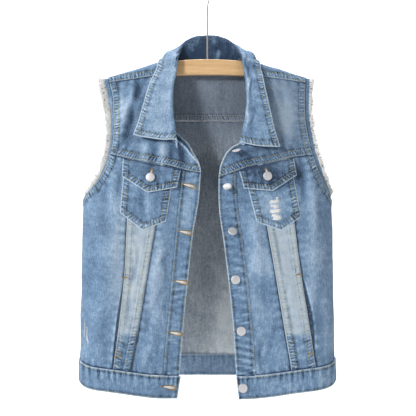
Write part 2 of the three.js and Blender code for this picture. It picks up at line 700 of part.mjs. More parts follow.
function buildBack() {
  const gap = SEAM_GAP / 2;
  // Distances from the centre back, positive on the left side
  const behind = (grid) => (u, v, lift) => {
    const p = grid(u, v);
    return onBody(p.x < 0 ? -1 : 1, rearCentre(p.y) - Math.abs(p.x), p.y, lift);
  };
  const low = HEM + WAISTBAND_HEIGHT + SEAM_GAP;
  const top = BACK_YOKE_SEAM - gap;
  const half = (z, g) => rearCentre(z) - (sideAt(z) + g + gap);
  const east = sideRoute(low, ARMHOLE.back, half, [half(top, backArmhole(top)), top]);
  const west = (t) => {
    const p = east(t);
    return new THREE.Vector2(-p.x, p.y);
  };
  const level = (z) => (t) => {
    const end = east(z === low ? 0 : 1).x;
    return new THREE.Vector2(mix(-end, end, t), z);
  };
  const share = fellShare(440);
  const rearStops = edgeStops(east);
  const rearSheet = behind(patch(level(low), level(top), west, east));
  const rearOuter = fellBy(share, 1 - share, 0, 0);
  add('back_panel', wall(rearSheet, steps(10, 440, true, true), rearStops.all, 0, rearOuter), DENIM);

  // Back yoke: from its seam up the back, over the shoulders to the front shoulder seams
  const front = -SHOULDER_SEAM + gap;
  const seamX = rearCentre(BACK_YOKE_SEAM) - rearArmhole(BACK_YOKE_SEAM) - gap;
  const south = (t) => {
    const w = mix(-seamX, seamX, t);
    return new THREE.Vector2(w, distanceFromTop(w, BACK_YOKE_SEAM + gap, 1));
  };
  const shoulderEdge = (sign, hand) => {
    const points = [[sign * seamX, south(0).y]];
    for (const z of [-250, -225]) {
      const w = rearCentre(z) - rearArmhole(z) - gap;
      points.push([sign * w, distanceFromTop(w, z, 1)]);
    }
    const end = armAtSeam(hand) - gap;
    points.push([sign * (end + 0.5), QUARTER], [sign * (end + 1), 0], [sign * end, front]);
    return route(points);
  };
  const east2 = shoulderEdge(1, 'left');
  const west2 = shoulderEdge(-1, 'right');
  const necks = {};
  for (const hand of ['right', 'left']) {
    const sign = hand === 'right' ? -1 : 1;
    const rows = NECKLINE[hand].filter((row) => row.s > -SHOULDER_SEAM + 8);
    necks[hand] = rows.map((row) => [sign * row.x, row.s]);
    necks[hand].push([sign * neckAtSeam(hand), front]);
  }
  const neckline = route([...necks.right.reverse(), ...necks.left.slice(1)]);
  const seamShare = 0.3; // share of the top line that each front shoulder seam takes
  const north = (t) => {
    if (t < seamShare) return west2(1).clone().lerp(neckline(0), t / seamShare);
    if (t > 1 - seamShare) return neckline(1).clone().lerp(east2(1), (t - 1 + seamShare) / seamShare);
    return neckline((t - seamShare) / (1 - 2 * seamShare));
  };
  const yoke = patch(south, north, west2, east2);
  const yokeSheet = (u, v, lift) => {
    const p = yoke(u, v);
    return onShoulder(p.x, p.y, lift);
  };
  const us = [0, 1, 2, 3, 4].map((i) => (seamShare * i) / 5);
  for (let i = 0; i < 14; i += 1) us.push(mix(seamShare, 1 - seamShare, i / 14));
  for (let i = 0; i <= 5; i += 1) us.push(mix(1 - seamShare, 1, i / 5));
  const turn = east2.marks.at(-3); // where the cloth starts to turn over the hanger
  const vs = stops([FELL_WIDTH / east2.total, turn], 24 / east2.total).filter((v) => v <= turn);
  for (let i = 1; i <= 6; i += 1) vs.push(mix(turn, 1, i / 6));
  const fell = FELL_WIDTH / east2.total + 1e-6;
  add('back_yoke', wall(yokeSheet, us, vs, 0, fellBy(0, 0, fell, 0)), DENIM);
  const down = [...vs].reverse();
  keepEdge('left', yokeSheet, 1, down);
  keepEdge('right', yokeSheet, 0, down);
  const curve = [...rearStops.curve].reverse();
  keepEdge('left', rearSheet, 1, curve);
  keepEdge('right', rearSheet, 0, curve);
}

function buildWaistband() {
  const ends = { right: -(rearCentre(HEM) - 53), left: rearCentre(HEM) - 53.5 };
  const sheet = (u, v, lift) => {
    const c = mix(ends.right, ends.left, u);
    const w = rearCentre(HEM) - Math.abs(c);
    const x = Math.min(w, 230);
    const z = hemAt(x) + v * WAISTBAND_HEIGHT;
    return onBody(c < 0 ? -1 : 1, w, z, lift);
  };
  add('waistband', wall(sheet, steps(54, 900), steps(2, 40), 0, BAND_CLOTH), DENIM);
}

// The collar: a stand that rises from the neckline, rolls over and falls to the free edge
function buildCollar() {
  const place = (hand, [x, y, z]) => new THREE.Vector3((hand === 'right' ? -1 : 1) * x, y, z);
  const guide = (pick) => {
    const right = pick('right').reverse();
    const left = pick('left').slice(1);
    const curve = new THREE.CatmullRomCurve3([...right, ...left]);
    return (u) => curve.getPoint(u);
  };
  const roll = guide((hand) => COLLAR[hand].roll.map((p) => place(hand, p)));
  const edge = guide((hand) => COLLAR[hand].edge.map((p) => place(hand, p)));
  const neckRight = NECKLINE.right.map((row) => new THREE.Vector2(-row.x, row.s)).reverse();
  const neckLeft = NECKLINE.left.map((row) => new THREE.Vector2(row.x, row.s));
  const neckline = new THREE.SplineCurve([...neckRight, ...neckLeft.slice(1)]);
  const seat = (u) => {
    const p = neckline.getPoint(u);
    const overPlacket = ease((-150 - p.y) / 20) * (DOUBLE_CLOTH - CLOTH);
    const lift = mix(COLLAR_SEAT.back, COLLAR_SEAT.front, ease((10 - p.y) / 40));
    return onShoulder(p.x, p.y, lift + overPlacket);
  };
  // Where the fall lies on the body it is held clear of the cloth below it
  const clear = DOUBLE_CLOTH / 2 + CLOTH + 2.1;
  const heldOff = (p) => {
    const drop = shoulderTop(p.x) - p.z;
    if (drop < SHOULDER_ROUND) {
      const away = Math.hypot(p.y, SHOULDER_ROUND - drop);
      const grow = (SHOULDER_ROUND + clear) / away;
      if (grow > 1 && away > 0) p.set(p.x, p.y * grow, p.z + (SHOULDER_ROUND - drop) * (grow - 1));
      return p;
    }
    if (p.y < 0) p.y = Math.min(p.y, -frontReach(drop) - clear - relief(p.x, p.z, -1));
    else p.y = Math.max(p.y, backReach(drop) + clear + relief(p.x, p.z, 1));
    return p;
  };
  const section = (u) => {
    const a = seat(u);
    const b = roll(u);
    const c = edge(u);
    const apart = a.clone().sub(c);
    const rise = b.clone().sub(a.clone().lerp(c, 0.5)).normalize();
    const spread = apart.addScaledVector(rise, -apart.dot(rise)).normalize().multiplyScalar(COLLAR_BELLY);
    const stand = a.clone().lerp(b, 0.62).add(spread);
    const fall = b.clone().lerp(c, 0.34).sub(spread);
    return new THREE.CatmullRomCurve3([a, stand, b, fall, c], false, 'centripetal');
  };
  const cache = new Map();
  const middle = (u, v) => {
    if (!cache.has(u)) cache.set(u, section(u));
    const p = cache.get(u).getPoint(v);
    return v > 0.25 ? heldOff(p) : p;
  };
  const sheet = (u, v, lift) => {
    const d = 0.004;
    const low = { u: Math.max(0, u - d), v: Math.max(0, v - d) };
    const high = { u: Math.min(1, u + d), v: Math.min(1, v + d) };
    const du = middle(high.u, v).clone().sub(middle(low.u, v));
    const dv = middle(u, high.v).clone().sub(middle(u, low.v));
    const normal = new THREE.Vector3().crossVectors(du, dv).normalize();
    return middle(u, v).clone().addScaledVector(normal, lift);
  };
  const vs = [0, 0.16, 0.32, 0.42, 0.5, 0.58, 0.7, 0.85, 1];
  const rows = COLLAR.right.roll.length - 1;
  const us = [0.5];
  for (const [from, to, count] of [[0, 2, 2], [2, 5.2, 16], [5.2, rows, 6]]) {
    for (let i = 1; i <= count; i += 1) {
      const share = mix(from, to, i / count) / rows / 2;
      us.push(0.5 + share, 0.5 - share);
    }
  }
  us.sort((a, b) => a - b);
  add('collar', wall(sheet, us, vs, -DOUBLE_CLOTH / 2, DOUBLE_CLOTH / 2), DENIM);
}

// The armhole edge as a ring, with the direction across it into the armhole and the way it faces
function armholeRing(side) {
  const hand = handOf(side);
  const ring = [];
  for (const at of armholes[hand]) {
    const near = ring.at(-1);
    if (!near || near.point.distanceTo(at.point) > 3) ring.push(at);
  }
  if (ring[0].point.distanceTo(ring.at(-1).point) < 3) ring.pop();
  const count = ring.length;
  const turned = new THREE.Vector3(side, 0, 0);
  return ring.map((at, i) => {
    const along = ring[(i + 1) % count].point.clone().sub(ring[(i + count - 1) % count].point).normalize();
    const facing = at.facing.clone().addScaledVector(along, -at.facing.dot(along)).normalize();
    const across = new THREE.Vector3().crossVectors(along, facing).multiplyScalar(side * turned.x);
    const fromTop = ease((-225 - at.point.z) / 40);
    const lean = THREE.MathUtils.degToRad(BAND_LEAN[hand]) * fromTop * (facing.y > 0 ? 0.5 : 1);
    const into = across.clone().multiplyScalar(side * Math.cos(lean)).addScaledVector(facing, -Math.sin(lean));
    const out = new THREE.Vector3().copy(facing).multiplyScalar(Math.cos(lean));
    out.addScaledVector(across, side * Math.sin(lean));
    return { point: at.point, into, out };
  });
}

function buildArmhole(side) {
  const hand = handOf(side);
  const ring = armholeRing(side);
  // Halfway points keep the edge's straight spans, so that the strips stay parallel to it
  const frames = [];
  ring.forEach((at, i) => {
    const next = ring[(i + 1) % ring.length];
    const half = {};
    for (const key of ['point', 'into', 'out']) half[key] = at[key].clone().lerp(next[key], 0.5);
    frames.push(at, half);
  });
  const strip = (from, to, among) => (u, v, lift) => {
    const at = among[Math.round(u * among.length) % among.length];
    return at.point.clone().addScaledVector(at.into, mix(from, to, v)).addScaledVector(at.out, lift);
  };
  const around = (among) => among.map((_, i) => i / among.length);
  const band = strip(SEAM_GAP, BAND_WIDTH, ring);
  add(`armhole_band_${hand}`, wall(band, around(ring), [0, 1], 0, CLOTH, true), DENIM);

  // Frayed edge: each step of the narrow root strip is drawn out into a lock
  const count = frames.length;
  const root = BAND_WIDTH + SEAM_GAP + 0.15;
  const rootWall = wall(strip(root, root + FRAY_ROOT, frames), around(frames), [0, 1], 0.1, CLOTH - 0.1, true);
  const position = [...rootWall.getAttribute('position').array];
  const index = [...rootWall.getIndex().array];
  const kept = [];
  for (let i = 0; i < index.length; i += 3) {
    const face = index.slice(i, i + 3);
    if (!face.every((vertex) => vertex % 2 === 1)) kept.push(...face);
  }
  const id = (layer, i) => (layer * count + (i % count)) * 2 + 1;
  for (let i = 0; i < count; i += 1) {
    const at = frames[i];
    const next = frames[(i + 1) % count];
    const length = FRAY_LENGTH * (1 + 0.35 * Math.sin(i * 2.3) + 0.25 * Math.sin(i * 5.1));
    const tip = at.point.clone().lerp(next.point, 0.5 + 0.3 * Math.sin(i * 1.7));
    tip.addScaledVector(at.into, root + FRAY_ROOT + length);
    tip.addScaledVector(at.out, CLOTH / 2 + 0.6 * Math.sin(i * 3.3));
    const apex = position.length / 3;
    position.push(...tip.toArray());
    const base = [id(0, i), id(0, i + 1), id(1, i + 1), id(1, i)];
    base.forEach((a, k) => kept.push(a, base[(k + 1) % 4], apex));
  }
  add(`armhole_fringe_${hand}`, consistent(position, kept), FRAY);
}

// Turns each face of a closed mesh the same way as its neighbours
function consistent(positions, faces) {
  const edges = new Map();
  const count = faces.length / 3;
  const key = (a, b) => (a < b ? `${a}_${b}` : `${b}_${a}`);
  for (let f = 0; f < count; f += 1) {
    for (let k = 0; k < 3; k += 1) {
      const name = key(faces[3 * f + k], faces[3 * f + ((k + 1) % 3)]);
      if (!edges.has(name)) edges.set(name, []);
      edges.get(name).push(f);
    }
  }
  const done = new Set([0]);
  const queue = [0];
  const runs = (f, a, b) => [0, 1, 2].some((k) => faces[3 * f + k] === a && faces[3 * f + ((k + 1) % 3)] === b);
  while (queue.length) {
    const f = queue.pop();
    for (let k = 0; k < 3; k += 1) {
      const a = faces[3 * f + k];
      const b = faces[3 * f + ((k + 1) % 3)];
      for (const other of edges.get(key(a, b))) {
        if (done.has(other)) continue;
        if (runs(other, a, b)) {
          [faces[3 * other + 1], faces[3 * other + 2]] = [faces[3 * other + 2], faces[3 * other + 1]];
        }
        done.add(other);
        queue.push(other);
      }
    }
  }
  return closedGeometry(positions, faces);
}

function button() {
  const r = BUTTON_RADIUS;
  const profile = [
    [0, 0], [3.4, 0], [3.4, 1.3], [r - 0.8, 1.5], [r, 2.1], [r, 3], [r - 1.3, 3.9], [0, BUTTON_HEIGHT],
  ].map(([x, y]) => new THREE.Vector2(x, y));
  return new THREE.LatheGeometry(profile, 12);
}

function addButton(name, side, [x, z], lift) {
  const foot = onBody(side, x, z, lift);
  const ahead = onBody(side, x, z, lift + 5).sub(foot).normalize();
  const mesh = add(name, button(), METAL);
  mesh.quaternion.setFromUnitVectors(new THREE.Vector3(0, 1, 0), ahead);
  mesh.position.copy(foot);
}

function buildButtons() {
  PLACKET_BUTTONS.forEach(([x, z], i) => {
    let under = DOUBLE_CLOTH;
    if (i === 0) under = CLOTH;
    if (i === PLACKET_BUTTONS.length - 1) under = BAND_CLOTH;
    addButton(`button_${i + 1}`, 1, [x, z], under + BUTTON_GAP);
  });
  for (const side of [-1, 1]) {
    const hand = handOf(side);
    addButton(`pocket_button_${hand}`, side, FLAP_BUTTONS[hand], FLAP_LIFT + CLOTH + BUTTON_GAP);
  }
}

// The hanger's bar: a rounded board whose top follows the shoulders
function buildHanger() {
  const top = (x) => {
    const shoulder = shoulderTop(x) - BAR_CLEARANCE;
    const middle = BAR_TOP - 6 * (Math.abs(x) / 100) ** 2;
    return mix(middle, shoulder, ease((Math.abs(x) - 55) / 50));
  };
  const height = (x) => mix(BAR_HEIGHT, BAR_TIP_HEIGHT, (Math.abs(x) / BAR_HALF_LENGTH) ** 1.5);
  const half = BAR_THICKNESS / 2;
  const corner = 2.5;
  const stations = 20;
  const positions = [];
  const index = [];
  for (let i = 0; i <= stations; i += 1) {
    const x = mix(-BAR_HALF_LENGTH, BAR_HALF_LENGTH, i / stations);
    const end = i === 0 || i === stations ? 3 : 0;
    const high = top(x) - end;
    const low = high - height(x) + 2 * end;
    const out = half - end / 2;
    const ring = [
      [-out, high - corner], [-out + corner, high], [out - corner, high], [out, high - corner],
      [out, low + corner], [out - corner, low], [-out + corner, low], [-out, low + corner],
    ];
    for (const [y, z] of ring) positions.push(x, y, z);
  }
  const sides = 8;
  for (let i = 0; i < stations; i += 1) {
    for (let k = 0; k < sides; k += 1) {
      const a = i * sides + k;
      const b = i * sides + ((k + 1) % sides);
      index.push(a, b, b + sides, a, b + sides, a + sides);
    }
  }
  for (let k = 1; k < sides - 1; k += 1) {
    index.push(0, k + 1, k);
    const last = stations * sides;
    index.push(last, last + k, last + k + 1);
  }
  add('hanger_bar', closedGeometry(positions, index), WOOD);

  // Hook: a straight neck, then an open curl whose crown is the origin
  const path = [];
  const radius = HOOK_RADIUS + WIRE / 2;
  const middle = WIRE / 2 - radius;
  const foot = top(0) + SEAM_GAP;
  for (const z of [foot, foot + 30, foot + 60, foot + 90]) path.push(new THREE.Vector3(0, 0, z));
  path.push(new THREE.Vector3(1.5, 0, middle - radius - 12), new THREE.Vector3(8, 0, middle - radius + 2));
  for (let degrees = -45; degrees <= 205; degrees += 20) {
    const a = THREE.MathUtils.degToRad(degrees);
    path.push(new THREE.Vector3(radius * Math.cos(a), 0, middle + radius * Math.sin(a)));
  }
  const curve = new THREE.CatmullRomCurve3(path);
  const round = new THREE.Shape();
  for (let k = 0; k < 6; k += 1) {
    const a = (k * Math.PI) / 3;
    const point = [(WIRE / 2) * Math.cos(a), (WIRE / 2) * Math.sin(a)];
    if (k === 0) round.moveTo(...point);
    else round.lineTo(...point);
  }
  const wire = new THREE.ExtrudeGeometry(round, { steps: 38, extrudePath: curve, bevelEnabled: false });
  add('hanger_hook', wire, METAL);
}

for (const side of [-1, 1]) {
  buildFront(side);
  buildPocket(side);
}
buildBack();
buildWaistband();
for (const side of [-1, 1]) buildArmhole(side);
buildCollar();
buildButtons();
buildHanger();

export default vest;
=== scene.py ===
# %% [markdown]
# A light blue denim vest hangs open on a flat wooden hanger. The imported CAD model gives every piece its
# place and size. Blender gives the cloth its fine form and finish: puckered seams, worn edges, topstitching,
# frayed armholes, metal buttons and wood. Each cell below makes one kind of piece or one finish.

# %% Load the frame
import json
import math

import bpy
import numpy as np
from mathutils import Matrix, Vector

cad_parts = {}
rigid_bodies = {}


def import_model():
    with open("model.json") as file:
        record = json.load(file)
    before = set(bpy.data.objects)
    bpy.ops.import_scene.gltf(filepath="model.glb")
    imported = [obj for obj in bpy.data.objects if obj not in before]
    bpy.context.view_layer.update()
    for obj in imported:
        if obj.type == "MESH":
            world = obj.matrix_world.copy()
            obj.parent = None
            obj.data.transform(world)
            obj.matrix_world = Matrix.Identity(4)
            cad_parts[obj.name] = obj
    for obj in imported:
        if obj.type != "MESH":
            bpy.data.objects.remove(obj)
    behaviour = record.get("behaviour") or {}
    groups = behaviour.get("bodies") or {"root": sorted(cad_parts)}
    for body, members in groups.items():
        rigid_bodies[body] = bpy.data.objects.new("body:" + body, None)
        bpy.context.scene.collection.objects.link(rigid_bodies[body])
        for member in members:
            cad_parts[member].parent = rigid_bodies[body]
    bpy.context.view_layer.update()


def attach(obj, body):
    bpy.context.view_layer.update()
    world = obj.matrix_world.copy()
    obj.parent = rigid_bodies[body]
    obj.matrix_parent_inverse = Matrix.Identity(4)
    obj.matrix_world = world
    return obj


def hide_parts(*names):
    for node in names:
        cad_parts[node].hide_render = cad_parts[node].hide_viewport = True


for start_object in list(bpy.data.objects):
    bpy.data.objects.remove(start_object)
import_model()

# %% [markdown]
# The vest is a flattened tube of cloth that hangs from two sloping shoulder lines. Each front swells
# forward as it falls and the back hangs almost straight. These sizes are the ones that the CAD solids were
# made from, in millimetres, so that the fine cloth lies on its solid's form. Only the shoulder line is a
# little lower, as the thin cloth sags on the bar there, its seam lies further forward at the neck, and the
# hem rises a little at the side seams.

# %% Sizes of the body
MM = 0.001
CLOTH = 1.2
DOUBLE_CLOTH = 2.4
BAND_CLOTH = 3.0
SEAM_GAP = 0.3
FELL_RAISE = 0.8
FELL_WIDTH = 11.0
SHOULDER_PEAK = -142.0
SHOULDER_SLOPE = 0.313
SHOULDER_ROUND = 12.0
FRONT_DEPTH = 88.0
FRONT_FILL = 220.0
BACK_BOW = 3.0
HEM_DROP = 420.0
UNDERARM = -434.0
HEM = -767.0
HEM_DIP = 17.0
WAISTBAND_HEIGHT = 40.0
HALF_WIDTH_UNDERARM = 229.5
HALF_WIDTH_HEM = 232.5
SIDE_ROUND = 50.0
SIDE_ARC = 72.0
BACK_YOKE_SEAM = -280.0
SHOULDER_SEAM = {"neck": 36.0, "arm": 17.5}  # cloth distance in front of the shoulder top
POCKET_LIFT = CLOTH + FELL_RAISE + 0.3
FLAP_LIFT = POCKET_LIFT + CLOTH + 0.6
BAND_LEAN = {"right": 55.0, "left": 12.0}
BAND_WIDTH = 10.0
EDGE_ROLL = {"right": 9.0, "left": 3.0}
EDGE_ROLL_BREADTH = 55.0

# %% [markdown]
# A maker would draw these lines on the pattern: the front edge, the placket, the two edges of the faded
# strip, the yoke seam, the neckline and the armholes. Each row is a point of a smooth line.

# %% Lines of the pattern
LINE_NAMES = ("edge", "placket", "strip_in", "strip_out")
FRONT_LINES = {  # height, then the distance of each line from the centre
    "right": [
        (-790, 53, 81, 142, 171), (-733, 48.8, 77, 135, 166), (-661, 43, 71, 121.5, 157),
        (-572, 34.5, 63, 107, 148), (-490, 25.5, 56, 94, 144.5), (-433, 16, 50.5, 85.5, 143),
        (-376, 11.8, 44, 76.5, 141.5),
    ],
    "left": [
        (-790, 54, 88, 155, 197), (-733, 50.5, 84, 148, 191), (-659, 45.8, 79, 136, 181),
        (-584, 38.3, 72, 124, 169.5), (-510, 29.5, 63.5, 111.5, 160), (-447, 21, 54, 101, 153),
        (-387, 20.5, 51, 91.5, 146),
    ],
}
YOKE_SEAM = {  # distance from the centre, height
    "right": [(11, -381.5), (44, -376.5), (65, -371), (100, -364), (140, -357), (180, -347.5)],
    "left": [(20, -391), (51, -380), (78, -371), (118, -363.5), (156, -354), (195, -349)],
}
YOKE_EDGE = {  # distance from the centre, height
    "right": [
        (13, -371), (17.5, -359), (25, -346), (33, -331), (41, -322), (49, -315.5), (59, -307), (69, -294),
    ],
    "left": [(23, -373), (28, -358), (37, -343), (48, -333.5), (60, -327.5), (70, -319.5), (78, -307)],
}
NECKLINE = {  # distance from the centre, cloth distance behind the shoulder top
    "right": [
        (0, 41), (30, 31), (52, 16), (64, 0), (71, -22), (78, -60), (80, -96), (76, -131), (66, -165),
        (54, -187),
    ],
    "left": [
        (0, 41), (30, 31), (52, 16), (64, 0), (73, -22), (84, -60), (88, -96), (86, -128), (77, -156),
        (67, -177),
    ],
}
ARMHOLE = {  # height, cloth distance in from the side line
    "right": [
        (-434, 0), (-432, 10), (-425, 22), (-405, 48), (-375, 66.5), (-340, 77), (-312, 79), (-281, 78),
        (-238, 74), (-208, 67),
    ],
    "left": [
        (-434, 0), (-432, 9), (-424, 21), (-397, 43), (-355, 59), (-333, 64), (-290, 69.5), (-262, 70),
        (-235, 69), (-208, 67),
    ],
    "back": [
        (-434, 0), (-431, 14), (-420, 32), (-400, 48), (-370, 60), (-330, 68), (-290, 71), (-250, 70),
        (-215, 67),
    ],
}


def mix(a, b, t):
    return a + (b - a) * t


def ease(t):
    c = np.clip(t, 0.0, 1.0)
    return c * c * (3 - 2 * c)


def bell(distance, width):
    return np.exp(-((distance / width) ** 2))


def smooth(at, value):
    """A smooth curve of value against at, held level past its ends."""
    order = np.argsort(at)
    k = np.array(at, float)[order]
    v = np.array(value, float)[order]
    before = np.maximum(np.arange(len(k)) - 1, 0)
    after = np.minimum(np.arange(len(k)) + 1, len(k) - 1)
    slope = (v[after] - v[before]) / (k[after] - k[before])

    def read(where):
        where = np.clip(where, k[0], k[-1])
        i = np.clip(np.searchsorted(k, where, side="right") - 1, 0, len(k) - 2)
        h = k[i + 1] - k[i]
        t = (where - k[i]) / h
        swing = t * (1 - t) ** 2 * slope[i] - t * t * (1 - t) * slope[i + 1]
        return v[i] + (v[i + 1] - v[i]) * t * t * (3 - 2 * t) + h * swing

    return read


LINES = {}
for hand in ("right", "left"):
    rows = np.array(FRONT_LINES[hand], float)
    LINES[hand] = {name: smooth(rows[:, 0], rows[:, i + 1]) for i, name in enumerate(LINE_NAMES)}
    free = np.array(YOKE_EDGE[hand], float)
    LINES[hand]["whole_edge"] = smooth([*rows[:, 0], *free[:, 1]], [*rows[:, 1], *free[:, 0]])
    LINES[hand]["yoke"] = smooth(*zip(*YOKE_SEAM[hand]))
    LINES[hand]["armhole"] = smooth(*zip(*ARMHOLE[hand]))
LINES["back"] = {"armhole": smooth(*zip(*ARMHOLE["back"]))}
SIDE = {"right": -1.0, "left": 1.0}
SEAM_AT_NECK = {}
for hand, rows in NECKLINE.items():
    SEAM_AT_NECK[hand] = float(smooth([s for _, s in rows], [x for x, _ in rows])(-SHOULDER_SEAM["neck"]))

# %% [markdown]
# Cloth is easiest to place by how far it runs over the body: so far round from the centre front and so high,
# or so far down from the shoulder. These functions turn such a place on the pattern into a point in space.

# %% From the pattern to the body
def half_width(z):
    return mix(HALF_WIDTH_UNDERARM, HALF_WIDTH_HEM, np.clip((UNDERARM - z) / (UNDERARM - HEM), 0, 1))


def flat_width(z):
    return half_width(z) - SIDE_ROUND


def side_at(z):
    return flat_width(z) + SIDE_ARC


def shoulder_top(x):
    return SHOULDER_PEAK - SHOULDER_SLOPE * np.abs(x)


def round_over(drop):
    left = SHOULDER_ROUND - np.minimum(drop, SHOULDER_ROUND)
    return np.sqrt(np.maximum(0, SHOULDER_ROUND**2 - left**2))


def filled(t):
    t = np.maximum(t, 0)
    return 1 - np.exp(-(t * t / (t + 25)) / FRONT_FILL)


def front_reach(drop):
    share = filled(drop - SHOULDER_ROUND) / filled(HEM_DROP - SHOULDER_ROUND)
    swell = SHOULDER_ROUND + (FRONT_DEPTH - SHOULDER_ROUND) * share
    return np.where(drop < SHOULDER_ROUND, round_over(drop), swell)


def back_reach(drop):
    bow = BACK_BOW * np.sin(math.pi * np.clip((drop - SHOULDER_ROUND) / HEM_DROP, 0, 1))
    return np.where(drop < SHOULDER_ROUND, round_over(drop), SHOULDER_ROUND + bow)


def points(x, y, z):
    return np.stack(np.broadcast_arrays(x, y, z), axis=-1).astype(float)


def unit(v):
    return v / np.maximum(np.linalg.norm(v, axis=-1, keepdims=True), 1e-12)


def tube(side, w, z):
    flat = flat_width(z)
    along = np.clip(w - flat, 0, 2 * SIDE_ARC)
    angle = along / SIDE_ARC * math.pi / 2
    x = np.minimum(w, flat) + SIDE_ROUND * np.sin(angle) - np.maximum(0, w - flat - 2 * SIDE_ARC)
    drop = np.maximum(0, shoulder_top(x) - z)
    front = -front_reach(drop)
    back = back_reach(drop)
    middle = (front + back) / 2
    face = np.where(along > SIDE_ARC, 1, -1)
    y = middle + (np.where(face < 0, front, back) - middle) * np.abs(np.cos(angle))
    return points(side * x, y, z), face


QUARTER = SHOULDER_ROUND * math.pi / 2


def drop_at(s):
    along = np.abs(s)
    over = SHOULDER_ROUND * (1 - np.cos(np.minimum(along, QUARTER) / SHOULDER_ROUND))
    return np.where(along < QUARTER, over, SHOULDER_ROUND + along - QUARTER)


def out_over_shoulder(w):
    """How far the cloth has turned at the side, and how far from the centre it is there."""
    flat = flat_width(0)
    angle = np.maximum(0, np.abs(w) - flat) / SIDE_ARC * math.pi / 2
    return angle, np.minimum(np.abs(w), flat) + SIDE_ROUND * np.sin(angle)


def over_shoulder(w, s):
    angle, x = out_over_shoulder(w)
    drop = drop_at(s)
    front = -front_reach(drop)
    back = back_reach(drop)
    middle = (front + back) / 2
    y = middle + (np.where(s < 0, front, back) - middle) * np.cos(angle)
    return points(np.sign(w) * x, y, shoulder_top(x) - drop)


def from_top(w, z, face):
    """Cloth distance from the shoulder top of a height in front (face -1) or behind (face 1)."""
    _, x = out_over_shoulder(w)
    return face * (QUARTER + shoulder_top(x) - z - SHOULDER_ROUND)


print("front stands", round(float(front_reach(500.0)), 1), "mm before the hanger at the hem")

# %% [markdown]
# Worn denim never hangs smooth. The large folds are in the solids already. Here they are joined by the
# smaller creases that show beside them, each a soft ridge or trough listed one by one, and by a slight
# unevenness of the whole cloth. A simulation would hide where each crease comes from, and denim this thick
# keeps its creases anyway.

# %% Folds and creases
# for the front, -1, and the back, 1: x and height of both ends, half width, raise, sideways bow
FOLDS = {
    -1: [
        (-150, -235, -160, -345, 10, 4, 0), (-118, -225, -138, -350, 11, -4, 0),
        (-172, -360, -168, -470, 9, 4, 0), (-187, -385, -186, -520, 10, -3, 0),
        (-80, -490, -98, -690, 12, 4, 0), (-205, -600, -186, -735, 12, 3.5, 0),
        (171, -350, 177, -450, 7, -4, 0), (186, -350, 196, -520, 9, 4, 0),
        (122, -225, 112, -330, 14, 3, 0), (84, -430, 92, -610, 13, 4, 0), (126, -640, 92, -735, 9, -4, 0),
        (215, -560, 208, -735, 11, 3.5, 0),
    ],
    1: [
        (-110, -300, -70, -640, 18, 5, 0), (40, -310, 60, -700, 16, 4, 0),
        (-150, -420, -160, -720, 16, -5, 0), (140, -360, 120, -600, 18, -5, 0),
    ],
}
CREASE_DEPTH = 1.5
